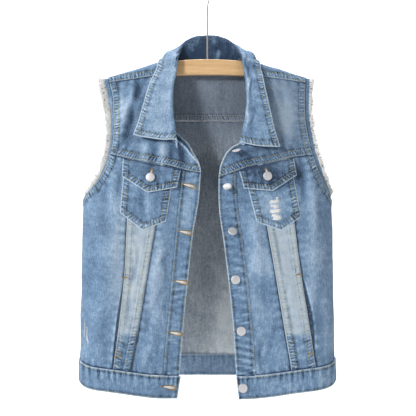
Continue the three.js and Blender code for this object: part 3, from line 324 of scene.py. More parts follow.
CREASES = {
    -1: [
        # wearer's right yoke, the upright folds that the light picks out
        (-138, -212, -153, -294, 6, 2.2, 2), (-160, -218, -167, -312, 6, 2.0, 2),
        (-119, -220, -130, -272, 5, 1.6, 2), (-150, -290, -165, -336, 7, 1.6, 2),
        (-137, -252, -156, -340, 7, -3.2, 3), (-126, -204, -134, -252, 7, -2.6, 0),
        # creases that run from the strip across the wearer's right centre
        (-94, -514, -65, -560, 3.5, -1.3, 2), (-88, -552, -106, -594, 4, 1.4, 2),
        (-67, -582, -112, -656, 5, -1.5, -4), (-119, -648, -128, -700, 4.5, -1.4, 2),
        (-95, -664, -108, -718, 7, 1.5, 3), (-75, -610, -72, -644, 4, -1.1, 1),
        (-60, -668, -84, -700, 5, 1.1, 2), (-103, -700, -88, -736, 4, -1.4, 1),
        # inside the wearer's right strip
        (-134, -500, -126, -562, 3.5, 1.2, 1), (-126, -562, -138, -624, 3.5, 1.2, -1),
        (-120, -514, -132, -588, 3, -1.0, 1), (-141, -640, -146, -690, 4, 1.0, 1),
        # the pull at the wearer's left front corner
        (110, -652, 85, -730, 4, -2.0, 3), (98, -650, 79, -700, 5, 1.4, 2),
        (117, -634, 97, -724, 5, 1.7, 3), (80, -560, 96, -600, 5, -1.2, 2),
        (122, -700, 108, -737, 3.5, -1.6, 1), (90, -716, 84, -738, 3, 1.4, 0),
        (132, -560, 142, -600, 4, 1.0, 2), (140, -610, 150, -650, 4, -0.9, 2),
        # wrinkles where the plackets meet the waistband
        (-50, -727, -80, -734, 3, -1.8, 1), (-54, -738, -74, -722, 2.5, 1.3, 0),
        (55, -728, 84, -735, 3, -1.8, 1), (60, -738, 78, -724, 2.5, 1.2, 0),
        # wearer's right yoke, below the collar and beside the armhole
        (-92, -322, -97, -378, 5, -1.8, 2), (-108, -318, -112, -372, 5, 1.6, 2),
        (-77, -326, -82, -380, 5, 1.7, -2), (-62, -322, -66, -374, 5, -1.8, 2),
        (-124, -300, -128, -366, 6, -1.4, 3), (-164, -228, -170, -300, 5, -1.5, 2),
        (-104, -222, -112, -290, 6, 1.5, 3), (-135, -215, -141, -262, 5, 1.3, -3),
        # wearer's right side, from the armhole down
        (-160, -372, -158, -430, 4, -1.6, 2), (-180, -370, -196, -440, 4, 1.5, 3),
        (-197, -396, -206, -470, 5, -1.4, 3), (-163, -450, -170, -560, 8, 1.3, 5),
        (-214, -470, -200, -600, 10, -1.4, 6), (-176, -620, -190, -700, 9, -1.5, 6),
        (-215, -660, -222, -735, 7, 1.4, 3), (-170, -690, -168, -738, 6, 1.3, 2),
        # wearer's right centre and strip
        (-118, -500, -124, -610, 5, 1.2, 4), (-131, -520, -136, -640, 4, -1.0, 3),
        (-112, -560, -128, -640, 4, 1.0, 3), (-76, -505, -110, -590, 6, 1.4, 4),
        (-66, -520, -92, -560, 5, -1.2, 3), (-86, -600, -112, -680, 7, -1.3, 4),
        (-78, -660, -84, -735, 6, 1.3, 3), (-98, -690, -104, -738, 5, -1.1, 2),
        # wearer's left yoke
        (96, -335, 100, -372, 5, 1.2, 2), (74, -340, 78, -376, 5, -1.4, 2),
        (130, -222, 150, -262, 6, -1.3, 4), (104, -218, 140, -240, 5, 1.1, 3),
        (150, -290, 154, -345, 6, 1.2, 3),
        # wearer's left side
        (181, -358, 184, -430, 4, 1.5, 2), (166, -380, 168, -440, 4, 1.3, 2),
        (200, -420, 204, -520, 6, -1.4, 4), (186, -500, 190, -640, 9, 1.3, 5),
        (206, -640, 202, -735, 6, -1.6, 3), (222, -560, 222, -690, 6, -1.3, 2),
        # wearer's left centre, where the front corner pulls
        (102, -650, 122, -735, 6, 1.8, 4), (112, -672, 100, -738, 5, -1.5, 4),
        (94, -560, 108, -640, 7, -1.2, 4), (128, -690, 124, -738, 5, 1.3, 2),
        (74, -470, 96, -520, 6, 1.1, 3), (140, -560, 150, -650, 6, 0.9, 4),
    ],
    1: [
        # back, behind the shoulder blades and above the waistband
        (-60, -300, -40, -420, 9, -1.8, 6), (70, -300, 92, -450, 10, 1.8, 6),
        (-20, -420, -30, -640, 12, 1.6, 8), (0, -560, 14, -735, 10, -1.6, 6),
        (-120, -600, -112, -735, 9, 1.8, 5), (96, -620, 84, -735, 8, 1.7, 5),
        (180, -420, 176, -600, 9, 1.6, 6), (-190, -440, -192, -640, 9, -1.5, 6),
        (-130, -215, -120, -275, 8, 1.2, 4), (120, -215, 104, -275, 8, -1.3, 4),
        (30, -190, 34, -270, 9, 1.0, 4), (150, -640, 146, -735, 7, -1.5, 3),
    ],
}


def crease_height(x, z, face, table):
    height = np.zeros(np.broadcast(x, z).shape)
    rows = [(at, *row) for at, found in table.items() for row in found]
    for at, x1, z1, x2, z2, width, rise, bow in rows:
        dx = x2 - x1
        dz = z2 - z1
        length = math.hypot(dx, dz)
        along = ((x - x1) * dx + (z - z1) * dz) / length**2
        across = ((x - x1) * dz - (z - z1) * dx) / length
        across = across + bow * np.sin(math.pi * np.clip(along, 0, 1) * 1.6)
        fade = ease(along * 3) * ease((1 - along) * 3)
        height = height + np.where(face == at, rise * fade * bell(across, width), 0)
    return height


def uneven(x, z, size, seed):
    """A soft unevenness of about -1 to 1, as of cloth after long washing and wear."""
    wander = np.random.default_rng(seed)
    total = 0
    for _ in range(7):
        turn = wander.uniform(0, 2 * math.pi)
        wave = size * wander.uniform(0.7, 1.7)
        start = wander.uniform(0, 2 * math.pi)
        total = total + np.sin((x * math.cos(turn) + z * math.sin(turn)) * 2 * math.pi / wave + start)
    return total / 3.2


def relief(x, z, face):
    """How far the cloth stands off the bare tube at a place on the front or the back."""
    height = crease_height(x, z, face, FOLDS) + CREASE_DEPTH * crease_height(x, z, face, CREASES)
    height = height + 0.5 * uneven(x, z, 75, 3) + 0.22 * uneven(x, z, 24, 4)
    for hand, side in SIDE.items():
        inward = np.abs(x) - LINES[hand]["whole_edge"](z)
        below = ease((-300 - z) / 60)
        roll = EDGE_ROLL[hand] * below * (1 - ease(inward / EDGE_ROLL_BREADTH))
        height = height - np.where((face < 0) & (x * side > 0), roll, 0)
    return height


NEAR = 0.5  # how far to each side a surface is sampled for the way it faces


def on_body(side, w, z, lift):
    here, face = tube(side, w, z)
    dw = tube(side, w + NEAR, z)[0] - tube(side, w - NEAR, z)[0]
    dz = tube(side, w, z + NEAR)[0] - tube(side, w, z - NEAR)[0]
    turn = -np.asarray(side, float)[..., None] * np.ones_like(here)
    normal = unit(np.cross(dz, dw) * turn)
    height = relief(here[..., 0], here[..., 2], face)
    return here + normal * (height + lift)[..., None]


def on_front(side):
    """The surface of one front, on which its pieces lie."""
    return lambda w, z, lift: on_body(np.full(np.shape(w), side), w, z, lift)


def on_shoulder(w, s, lift):
    here = over_shoulder(w, s)
    dw = over_shoulder(w + NEAR, s) - over_shoulder(w - NEAR, s)
    ds = over_shoulder(w, s + NEAR) - over_shoulder(w, s - NEAR)
    normal = unit(np.cross(dw, ds))
    height = relief(here[..., 0], here[..., 2], np.where(s < 0, -1, 1))
    return here + normal * (height + lift)[..., None]


print(*(sum(map(len, table.values())) for table in (FOLDS, CREASES)), "folds and creases")

# %% [markdown]
# A cut piece is bounded by four lines on the pattern. A Coons patch fills them with an even grid, which
# follows curved edges such as the armhole better than a straight grid that is trimmed afterwards.

# %% Lines and patches
class Route:
    """A line through dense points, read by the share of its length."""

    def __init__(self, dense):
        self.dense = np.asarray(dense, float)
        step = np.linalg.norm(np.diff(self.dense, axis=0), axis=1)
        self.at = np.concatenate([[0], np.cumsum(step)])
        self.total = self.at[-1]

    def __call__(self, t):
        where = np.clip(np.asarray(t, float), 0, 1) * self.total
        return np.stack([np.interp(where, self.at, self.dense[:, k]) for k in (0, 1)], axis=-1)


def spline(knots, fine=40):
    """Dense points of a smooth line through the knots."""
    p = np.asarray(knots, float)
    t = np.linspace(0, len(p) - 1, fine * (len(p) - 1) + 1)
    i = np.minimum(t.astype(int), len(p) - 2)
    f = (t - i)[:, None]
    p0, p1 = p[np.maximum(i - 1, 0)], p[i]
    p2, p3 = p[i + 1], p[np.minimum(i + 2, len(p) - 1)]
    v0, v1 = (p2 - p0) / 2, (p3 - p1) / 2
    return (2 * p1 - 2 * p2 + v0 + v1) * f**3 + (-3 * p1 + 3 * p2 - 2 * v0 - v1) * f**2 + v0 * f + p1


def route(knots):
    return Route(spline(knots))


def patch(south, north, west, east):
    corner = [south(0.0), south(1.0), north(0.0), north(1.0)]

    def pattern(u, v):
        u, v = np.broadcast_arrays(u, v)
        a, b = u[..., None], v[..., None]
        across = mix(south(u), north(u), b)
        along = mix(west(v), east(v), a)
        corners = mix(mix(corner[0], corner[1], a), mix(corner[2], corner[3], a), b)
        return across + along - corners

    return pattern


def nearest(at, line):
    """Distance from each place to a line of points, and how far along the line that is."""
    flat = at.reshape(-1, 2)
    start, end = line[:-1], line[1:]
    run = end - start
    length = np.linalg.norm(run, axis=1)
    begun = np.concatenate([[0], np.cumsum(length)[:-1]])
    best = np.full(len(flat), 1e9)
    along = np.zeros(len(flat))
    for k in range(len(run)):
        if length[k] < 1e-9:
            continue
        t = np.clip(((flat - start[k]) @ run[k]) / length[k] ** 2, 0, 1)
        far = np.hypot(*(flat - start[k] - t[:, None] * run[k]).T)
        closer = far < best
        best[closer] = far[closer]
        along[closer] = begun[k] + t[closer] * length[k]
    return best.reshape(at.shape[:-1]), along.reshape(at.shape[:-1])


# %% [markdown]
# What makes denim look sewn is the seam. A felled seam is a raised double band that two rows of stitches
# draw together, so it puckers into short ridges. Washing wears the ridges pale and leaves the hollows dark.
# The same function gives a place both its height and its wear, so that the pale marks sit on the ridges,
# and it paints shade beside the raised edges.

# %% How an edge is sewn
ROWS = {
    "fell": (1.8, 9.6), "folded": (2.2,), "double": (2.2, 9.4), "shoulder": (2.0, 9.0), "flat": (2.6,),
    "under": (), "flush": (), "raw": (),
}


def pucker(t, d, seed):
    lean = t + 0.3 * d
    beat = 0.65 + 0.35 * np.sin(t / 19 + 1.7 * seed)
    ridge = np.sin(2 * math.pi * lean / 7.4 + 1.4 * np.sin(t / 27 + seed))
    return beat * ridge + 0.35 * np.sin(2 * math.pi * lean / 4.3 + 2.1 * seed)


def slow_pucker(t, seed):
    ridge = np.sin(2 * math.pi * t / 15.5 + 2.2 * np.sin(t / 41 + seed))
    return ridge * (0.6 + 0.4 * np.sin(t / 31 + 2.3 * seed))


def sewn(finish, d, t, seed):
    """Height, and wear with painted shade, beside an edge, from the distance to it and the distance along it.
    """
    height = -0.55 * (1 - ease(d / 0.9))
    worn = np.zeros_like(d)
    # A piece that slips under its neighbour gets a line of painted shade along the edge.
    if finish == "under":
        height = height - 0.5 * bell(d, 2.4) + 0.6 * slow_pucker(t, seed) * bell(d - 4, 9)
        return height, -1.3 * bell(d, 2.6) + 0.3 * slow_pucker(t, seed) * bell(d - 4, 9)
    # A flush edge gets a faint line of painted shade.
    if finish == "flush":
        return 0.4 * height, -0.35 * bell(d, 2.0)
    if finish == "raw":
        return np.zeros_like(d), 0.5 * bell(d, 1.5)
    rows = ROWS[finish]
    last = rows[-1] + 1.4
    within = ease(d / 1.6) * (1 - ease((d - last + 1) / 2))
    if finish == "fell":
        height = height + FELL_RAISE * (1 - ease((d - FELL_WIDTH + 1) / 2))
    strength = 0.2 if finish in ("folded", "flat") else 0.42
    ridges = pucker(t, d, seed)
    height = height + strength * ridges * within
    rim = {"flat": 0.3, "double": 1.8, "folded": 1.4}.get(finish, 1.0)
    worn = worn + 0.3 * ridges * within + rim * bell(d - 0.2, 1.4)
    for row in rows:
        height = height - 0.28 * bell(d - row, 0.9)
        worn = worn - 0.6 * bell(d - row, 1.1)
    beyond = np.where(d > last, bell(d - last, 11), ease(d / last))
    height = height + 0.4 * slow_pucker(t, seed) * beyond * (d > last / 2)
    # Painted shade lies just beyond the sewn band, beside its raised edge.
    worn = worn + 0.3 * slow_pucker(t, seed) * beyond - 0.5 * bell(d - last - 1.0, 1.8)
    return height, worn


def drawn(finish, d):
    """How far the thread draws the cloth into short puckers at a distance from the edge."""
    if not ROWS[finish]:
        return np.zeros_like(d)
    last = ROWS[finish][-1] + 1.2
    share = {"flat": 0.35, "folded": 0.55}.get(finish, 1.0)
    return share * ease((d - 0.4) / 1.4) * (1 - ease((d - last) / 2.4))


# %% [markdown]
# Every cloth piece becomes a closed thin shell: an outer face with all the sewing relief, an inner face that
# follows it softly, and a rim. The mesh carries five values a point for its materials: worn, from dark
# hollow to pale ridge, with painted shade beside raised edges, fade, for broad bleaching and for painted
# light and shade, grey, for the dusty strips, seam, for how far the thread draws the cloth in, and along,
# for the distance along the seam.

# %% Meshes
EDGE_MARKS = (0, 0.5, 1.2, 2.0, 3.2, 4.8, 6.4, 8.0, 9.4, 10.4, 11.4, 12.6)
GRID = 3.0


def spaced(length, start=True, step=GRID):
    """Shares along a piece, closer together beside a sewn edge."""
    first = np.array(EDGE_MARKS if start else (0, 0.5)) / length
    last = 1 - np.array(EDGE_MARKS)[::-1] / length
    room = last[0] - first[-1]
    count = max(2, round(room * length / step))
    return np.concatenate([first, mix(first[-1], last[0], np.linspace(0, 1, count + 1)[1:-1]), last])


def build_mesh(name, verts, quads, tris=()):
    """A mesh object from millimetre points and arrays of faces with four and three corners."""
    quads = np.asarray(quads, np.int32).reshape(-1, 4)
    tris = np.asarray(tris, np.int32).reshape(-1, 3)
    mesh = bpy.data.meshes.new(name)
    mesh.vertices.add(len(verts))
    mesh.vertices.foreach_set("co", (np.asarray(verts, np.float32) * MM).ravel())
    corners = np.concatenate([quads.ravel(), tris.ravel()])
    mesh.loops.add(len(corners))
    mesh.loops.foreach_set("vertex_index", corners)
    mesh.polygons.add(len(quads) + len(tris))
    first_tri = 4 * len(quads)
    starts = np.concatenate([np.arange(len(quads)) * 4, first_tri + np.arange(len(tris)) * 3])
    mesh.polygons.foreach_set("loop_start", starts.astype(np.int32))
    mesh.polygons.foreach_set("use_smooth", np.full(len(starts), True))
    mesh.update(calc_edges=True)
    piece = bpy.data.objects.new(name, mesh)
    bpy.context.scene.collection.objects.link(piece)
    return piece


def tube_faces(rings):
    """Point numbers of rings of points, as rows, and the quads that join each ring to the next."""
    ids = np.arange(rings.shape[0] * rings.shape[1]).reshape(rings.shape[:2])
    nxt = np.roll(ids, -1, axis=1)
    return ids, np.stack([ids[:-1], nxt[:-1], nxt[1:], ids[1:]], axis=-1).reshape(-1, 4)


def give_values(piece, **values):
    for name, value in values.items():
        layer = piece.data.attributes.new(name, "FLOAT", "POINT")
        layer.data.foreach_set("value", np.asarray(value, np.float32).ravel())


def shell(name, outer, inner, ring=False):
    """A closed thin shell between two grids of points. Faces 0 are outer and rim, and faces 1 inner."""
    columns, rows = outer.shape[:2]
    verts = np.concatenate([outer.reshape(-1, 3), inner.reshape(-1, 3)])
    ids = np.arange(columns * rows).reshape(columns, rows)
    if ring:
        ids = np.vstack([ids, ids[:1]])
    far = ids + columns * rows
    face = np.stack([ids[:-1, :-1], ids[1:, :-1], ids[1:, 1:], ids[:-1, 1:]], axis=-1).reshape(-1, 4)
    back = np.stack([far[:-1, 1:], far[1:, 1:], far[1:, :-1], far[:-1, :-1]], axis=-1).reshape(-1, 4)
    rims = [
        np.stack([far[:-1, 0], far[1:, 0], ids[1:, 0], ids[:-1, 0]], axis=-1),
        np.stack([ids[:-1, -1], ids[1:, -1], far[1:, -1], far[:-1, -1]], axis=-1),
    ]
    if not ring:
        rims.append(np.stack([ids[0, :-1], ids[0, 1:], far[0, 1:], far[0, :-1]], axis=-1))
        rims.append(np.stack([far[-1, :-1], far[-1, 1:], ids[-1, 1:], ids[-1, :-1]], axis=-1))
    quads = np.concatenate([face, *rims, back])
    corner = verts[face[len(face) // 2]]
    facing = np.cross(corner[1] - corner[0], corner[3] - corner[0])
    outward = verts[face[len(face) // 2][0]] - verts[back[len(face) // 2][3]]
    if facing @ outward < 0:
        quads = quads[:, ::-1]
    piece = build_mesh(name, verts, quads)
    inside = np.zeros(len(quads), np.int32)
    inside[-len(back):] = 1
    piece.data.polygons.foreach_set("material_index", inside)
    return piece


def one_sided(piece):
    """Show the outer face's cloth on the inner face too."""
    piece.data.polygons.foreach_set("material_index", np.zeros(len(piece.data.polygons), np.int32))


def put_in(piece, node, slot, *materials):
    """Give a piece its materials and put it in the place of its CAD node."""
    for material in materials:
        piece.data.materials.append(material)
    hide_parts(node)
    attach(piece, "root")


# %% [markdown]
# A vest after many washes is not one blue. It is palest down the fronts beside the strips, greyish where it
# was bleached by hand, and darker at the seams and sides. Other patches are painted shade under the collar
# tips, the flaps and beside the pockets, and painted highlight and shade on folds of the yoke, the chest
# pocket and the centre panels. The patches are given in millimetres on the vest.

# %% Wash, fading and painted shade
# for the front, -1, and the back, 1: x, height, half width, half height, fade with painted light and shade,
# grey
FADE_AND_SHADE_PATCHES = {
    -1: [
        (-98, -560, 32, 100, 0.24, 0.2), (-158, -540, 18, 100, 0.24, 0.45),
        (-196, -470, 26, 60, 0.06, 0.1), (-60, -600, 22, 90, 0.04, 0.0), (-158, -275, 12, 50, 0.2, 0.15),
        (-106, -280, 14, 30, 0.1, 0.1), (96, -560, 26, 110, 0.26, 0.05), (190, -540, 20, 110, 0.4, 0.1),
        (146, -272, 14, 36, 0.22, 0.95), (140, -270, 46, 70, -0.5, 0.5), (161, -702, 18, 24, 0.2, 0.0),
        (44, -487, 12, 24, -0.34, 0.0), (-89, -568, 20, 50, -0.16, 0.0), (132, -215, 24, 30, -0.1, 0.4),
        (122, -440, 34, 30, 0.2, 0.0), (100, -695, 24, 40, 0.16, 0.0), (205, -690, 24, 50, 0.2, 0.0),
        (150, -765, 80, 20, 0.2, 0.0), (-34, -440, 12, 46, 0.5, 0.0), (122, -450, 7, 15, 0.5, 0.0),
        (-24, -352, 12, 20, 0.35, 0.0),
        # painted highlight and shade on the wearer's right yoke folds, painted shadow under the collar and by
        # the left flap
        (-129, -228, 8, 19, -0.75, 0.1), (-141, -280, 6, 22, -0.5, 0.0), (-150, -316, 7, 20, -0.65, 0.0),
        (-163, -268, 5, 42, 0.18, 0.1), (-116, -262, 7, 34, 0.2, 0.1), (-85, -323, 46, 6, -0.6, 0.0),
        (-47, -348, 8, 26, -0.9, 0.0), (-67, -350, 4, 22, -0.5, 0.0), (-101, -348, 6, 26, -0.5, 0.0),
        (-118, -342, 7, 22, 0.25, 0.3), (-81, -340, 6, 18, 0.35, 0.5), (-132, -300, 6, 34, 0.1, 0.3),
        (165, -390, 5, 17, -0.7, 0.0),
        # shade under the collar tips, on the flaps and beside the hand pockets
        (104, -338, 34, 8, -0.5, 0.0), (70, -348, 22, 16, -0.4, 0.0), (118, -226, 12, 26, -0.3, 0.0),
        (108, -386, 52, 25, -0.9, 0.0), (-103, -382, 36, 15, -0.35, 0.0), (196, -640, 10, 60, -0.4, 0.0),
        (164, -330, 10, 40, -0.2, 0.0), (-196, -690, 24, 40, -0.1, 0.0), (-106, -430, 30, 28, -0.2, 0.0),
        (-47, -398, 6, 26, -0.6, 0.0), (-70, -432, 4, 28, -0.5, 0.0), (118, -430, 30, 26, 0.25, 0.0),
        # painted highlight and shade of soft upright folds in the wearer's right chest pocket and of the
        # centre pull lines
        (-118, -430, 5, 24, -0.45, 0.0), (-107, -440, 5, 22, 0.35, 0.0), (-92, -430, 4, 22, -0.25, 0.0),
        (-86, -535, 5, 26, 0.3, 0.0), (-74, -560, 4, 26, -0.35, 0.0), (-97, -620, 5, 30, 0.25, 0.0),
        (-108, -640, 4, 34, -0.3, 0.0), (-88, -700, 5, 26, -0.3, 0.0), (-112, -715, 5, 16, 0.3, 0.0),
        (100, -690, 5, 28, 0.4, 0.0), (92, -712, 4, 18, -0.5, 0.0), (112, -690, 4, 26, -0.3, 0.0),
    ],
    1: [(-90, -500, 80, 130, 0.18, 0.1), (100, -480, 80, 130, 0.18, 0.1), (0, -210, 120, 40, 0.1, 0.05)],
}


STRIP_END = -664  # height at which the bleach stops


def bleached_strip(x, z):
    """The strips were bleached by hand, with a clear end above the waistband."""
    level = 1 - ease((STRIP_END - z) / 14)
    # Their creases are paler on the ridges and darker in the troughs: partly wear, partly painted shade.
    blotch_and_crease_shade = 0.16 * uneven(x, z, 26, 14) + 0.2 * crease_height(x, z, -1, CREASES) + 0.42 * (x > 0)
    return (0.46 + blotch_and_crease_shade) * level, 0.6 * level


def inside_painted_shading(x, z):
    """Painted shade inside, darkest behind the hanger bar, and painted light low on the wearer's left."""
    light_from = 28 + 0.18 * (z + 568)
    streaks = uneven(x, z, 22, 23)
    low = ease((-490 - z) / 140) * ease((x - light_from + 26 + 4 * streaks) / 56)
    high = ease((z + 340) / 90)
    middle = 0.04 + 0.2 * ease((-380 - z) / 80)
    lit = (0.62 + 0.1 * streaks) * low
    return lit - 0.6 * high + middle * (1 - high) + 0.06 * ease((-540 - z) / 120)


# Fading and grey of the wash, together with painted light and shade from the patch table and the creases.
def wash_and_painted_shade(x, z, face):
    fade = np.zeros(np.broadcast(x, z).shape)
    grey = np.zeros_like(fade)
    for cx, cz, rx, rz, amount, dust in FADE_AND_SHADE_PATCHES[face]:
        near = bell(x - cx, rx) * bell(z - cz, rz)
        fade = fade + amount * near
        grey = grey + dust * near
    fade = fade + 0.12 * uneven(x, z, 60, 11) + 0.08 * uneven(x, z, 17, 12)
    # Creases and folds are paler on their ridges and darker in their troughs: partly wear, partly painted
    # light and shade.
    fade = fade + 0.13 * crease_height(x, z, face, CREASES) + 0.07 * crease_height(x, z, face, FOLDS)
    return fade, np.clip(grey, 0, 1)


# %% [markdown]
# A cut piece knows its place on the pattern and how each of its four edges is sewn. It makes its own shell,
# and later it tells the stitches where its outer face is.

# %% Cut pieces
STITCH_LENGTH = 3.7
ALONG = np.linspace(0, 1, 121)


class Cut:
    def __init__(
        self, name, pattern, space, us, vs, edges, thick=CLOTH, base=None, seed=0.0, spans=None, extra=None,
    ):
        self.name = name
        self.pattern = pattern
        self.space = space
        self.edges = edges
        self.thick = thick
        self.base = base or (lambda a, b: np.zeros_like(a))
        self.seed = seed
        self.spans = spans or {}
        self.extra = extra
        self.lines = {
            "south": pattern(ALONG, 0.0), "north": pattern(ALONG, 1.0),
            "west": pattern(0.0, ALONG), "east": pattern(1.0, ALONG),
        }
        self.us, self.vs = us, vs

    def measure(self, at):
        """Distance to each sewn edge and along it, and whether the sewing runs there."""
        found = {}
        for edge in self.edges:
            d, t = nearest(at, self.lines[edge])
            length = np.linalg.norm(np.diff(self.lines[edge], axis=0), axis=1).sum()
            share = t / length
            runs = np.ones_like(d)
            if edge in self.spans:
                runs = sum(ease((share - lo) * 40) * ease((hi - share) * 40) for lo, hi in self.spans[edge])
            found[edge] = (d, t, runs)
        return found

    def surface(self, at):
        """Height above the base, wear, share of pucker and distance along the seam."""
        height = np.zeros(at.shape[:-1])
        worn = np.zeros_like(height)
        seam = np.zeros_like(height)
        along = np.zeros_like(height)
        near = np.full_like(height, 1e9)
        for number, (edge, (d, t, runs)) in enumerate(self.measure(at).items()):
            finish = self.edges[edge]
            up, rub = sewn(finish, d, t, self.seed + 1.3 * number)
            height = height + up * runs
            worn = worn + rub * runs
            seam = np.maximum(seam, drawn(finish, d) * runs)
            closer = (d < near) & (len(ROWS[finish]) > 0)
            along = np.where(closer, t + 0.25 * d, along)
            near = np.where(closer, d, near)
        if self.extra:
            more, rub = self.extra(at)
            height = height + more
            worn = worn + rub
        return height, worn, seam, along

    def outer(self, at, above=0.0):
        lift = self.base(at[..., 0], at[..., 1]) + self.thick + self.surface(at)[0] + above
        return self.space(at[..., 0], at[..., 1], lift)

    def inner(self, at, above=0.0):
        lift = self.base(at[..., 0], at[..., 1]) - above
        return self.space(at[..., 0], at[..., 1], lift)

    def build(self, face=-1, bleach=None, inside=None):
        u, v = np.meshgrid(self.us, self.vs, indexing="ij")
        at = self.pattern(u, v)
        height, worn, seam, along = self.surface(at)
        base = self.base(at[..., 0], at[..., 1])
        ripple = np.clip(height, -0.5, 0.5) * 0.5
        outer = self.space(at[..., 0], at[..., 1], base + self.thick + height)
        inner = self.space(at[..., 0], at[..., 1], base + ripple)
        piece = shell(self.name, outer, inner)
        x, z = outer[..., 0], outer[..., 2]
        fade, grey = wash_and_painted_shade(x, z, face)
        if bleach:
            more, dust = bleach(x, z)
            fade, grey = fade + more, np.clip(grey + dust, 0, 1)
        # The inside face adds the painted light and shade of inside() to a weaker copy of the outer fade.
        reverse = 0.4 * fade + inside(x, z) if inside else fade
        give_values(
            piece, worn=[worn, 0.5 * worn], fade=[fade, reverse], grey=[grey, 0.5 * grey],
            seam=[seam, 0.7 * seam], along=[along, along],
        )
        self.piece = piece
        self.flat = np.ptp(at.reshape(-1, 2), axis=0) * MM
        ring = np.concatenate([
            self.lines["south"], self.lines["east"], self.lines["north"][::-1], self.lines["west"][::-1],
        ])
        nxt = np.roll(ring, -1, axis=0)
        self.area = abs((ring[:, 0] * nxt[:, 1] - ring[:, 1] * nxt[:, 0]).sum()) / 2 * MM**2
        print(f"{self.name}: {len(piece.data.polygons)} faces, cut {self.area * 1e4:.0f} cm2")
        return piece

    def row(self, edge, inset):
        """Places on the pattern along a line that keeps its distance from an edge."""
        line = self.lines[edge]
        run = np.gradient(line, axis=0)
        across = unit(np.stack([-run[:, 1], run[:, 0]], axis=-1))
        into = self.just_inside(edge) - line
        across = across * np.sign((across * into).sum(axis=1, keepdims=True) + 1e-9)
        whole = Route(line + across * inset)
        count = max(2, int(whole.total / STITCH_LENGTH))
        return whole(np.arange(count + 1) / count)

    def just_inside(self, edge):
        """A line just inside the piece that runs beside an edge."""
        share = {"south": 0.03, "west": 0.03, "north": 0.97, "east": 0.97}[edge]
        if edge in ("south", "north"):
            return self.pattern(ALONG, share)
        return self.pattern(share, ALONG)


cuts = {}


def keep(cut, node, slot="denim", lined=False, **options):
    """Build a cut piece in place of its CAD node. A lined piece shows its good side inside too."""
    piece = cut.build(**options)
    if lined:
        one_sided(piece)
    put_in(piece, node, slot, denim, denim_reverse)
    cuts[node] = cut


# %% [markdown]
# Denim is a twill: blue warp yarns pass over white weft yarns in steps, which shows as fine diagonal lines,
# and each yarn is thick and thin by turns. The twill is one node group and the wash another, because the
# blue face, the grey reverse and the faded strips all use them with other colours. Both read the place on
# the object, so that no UV map is needed.

# %% Weave and wash groups
def shade(r, g, b):
    """A colour given as it looks on a screen, from 0 to 255, in the linear values that Blender uses."""
    linear = [c / 255 / 12.92 if c <= 10 else ((c / 255 + 0.055) / 1.055) ** 2.4 for c in (r, g, b)]
    return (*linear, 1.0)


def add(tree, kind, inputs=(), **settings):
    node = tree.nodes.new(kind)
    for name, value in settings.items():
        setattr(node, name, value)
    given = inputs.items() if isinstance(inputs, dict) else enumerate(inputs)
    for key, value in given:
        if isinstance(value, bpy.types.NodeSocket):
            tree.links.new(value, node.inputs[key])
        else:
            node.inputs[key].default_value = value
    return node


def calc(tree, operation, *inputs, clamp=False):
    return add(tree, "ShaderNodeMath", inputs, operation=operation, use_clamp=clamp).outputs[0]


def blend(tree, share, one, other):
    node = add(tree, "ShaderNodeMix", data_type="RGBA", blend_type="MIX", clamp_factor=True)
    for key, value in ((0, share), (6, one), (7, other)):
        if isinstance(value, bpy.types.NodeSocket):
            tree.links.new(value, node.inputs[key])
        else:
            node.inputs[key].default_value = value
    return node.outputs[2]


def new_group(name, inputs, outputs):
    group = bpy.data.node_groups.new(name, "ShaderNodeTree")
    for socket, kind, value in inputs:
        made = group.interface.new_socket(socket, in_out="INPUT", socket_type=kind)
        made.default_value = value
    for socket, kind in outputs:
        group.interface.new_socket(socket, in_out="OUTPUT", socket_type=kind)
    start = group.nodes.new("NodeGroupInput")
    end = group.nodes.new("NodeGroupOutput")
    return group, start.outputs, end.inputs


def noise(tree, vector, scale, detail=2.0, rough=0.55):
    node = add(tree, "ShaderNodeTexNoise", {"Scale": scale, "Detail": detail, "Roughness": rough})
    tree.links.new(vector, node.inputs["Vector"])
    return node.outputs["Fac"]


def make_twill_group():
    group, given, out = new_group(
        "Twill weave",
        [("Line Spacing", "NodeSocketFloat", 0.0013)],
        [("Height", "NodeSocketFloat"), ("Weft", "NodeSocketFloat")],
    )
    place = add(group, "ShaderNodeTexCoord").outputs["Object"]
    axis = add(group, "ShaderNodeSeparateXYZ", [place]).outputs
    slant = calc(group, "ADD", calc(group, "ADD", axis["X"], axis["Z"]), axis["Y"])
    wobble = calc(group, "MULTIPLY", noise(group, place, 260.0), 2.6)
    turn = calc(group, "DIVIDE", calc(group, "MULTIPLY", slant, 2 * math.pi), given["Line Spacing"])
    line = calc(group, "MULTIPLY_ADD", calc(group, "SINE", calc(group, "ADD", turn, wobble)), 0.5, 0.5)
    step = calc(group, "DIVIDE", calc(group, "MULTIPLY", axis["Z"], 4 * math.pi), given["Line Spacing"])
    yarn = calc(group, "MULTIPLY_ADD", calc(group, "SINE", calc(group, "ADD", step, wobble)), 0.15, 0.15)
    group.links.new(calc(group, "MULTIPLY_ADD", line, 0.7, yarn), out["Height"])
    gap = calc(group, "POWER", calc(group, "SUBTRACT", 1.0, line), 3.0)
    group.links.new(calc(group, "MULTIPLY", gap, noise(group, place, 900.0)), out["Weft"])
    return group


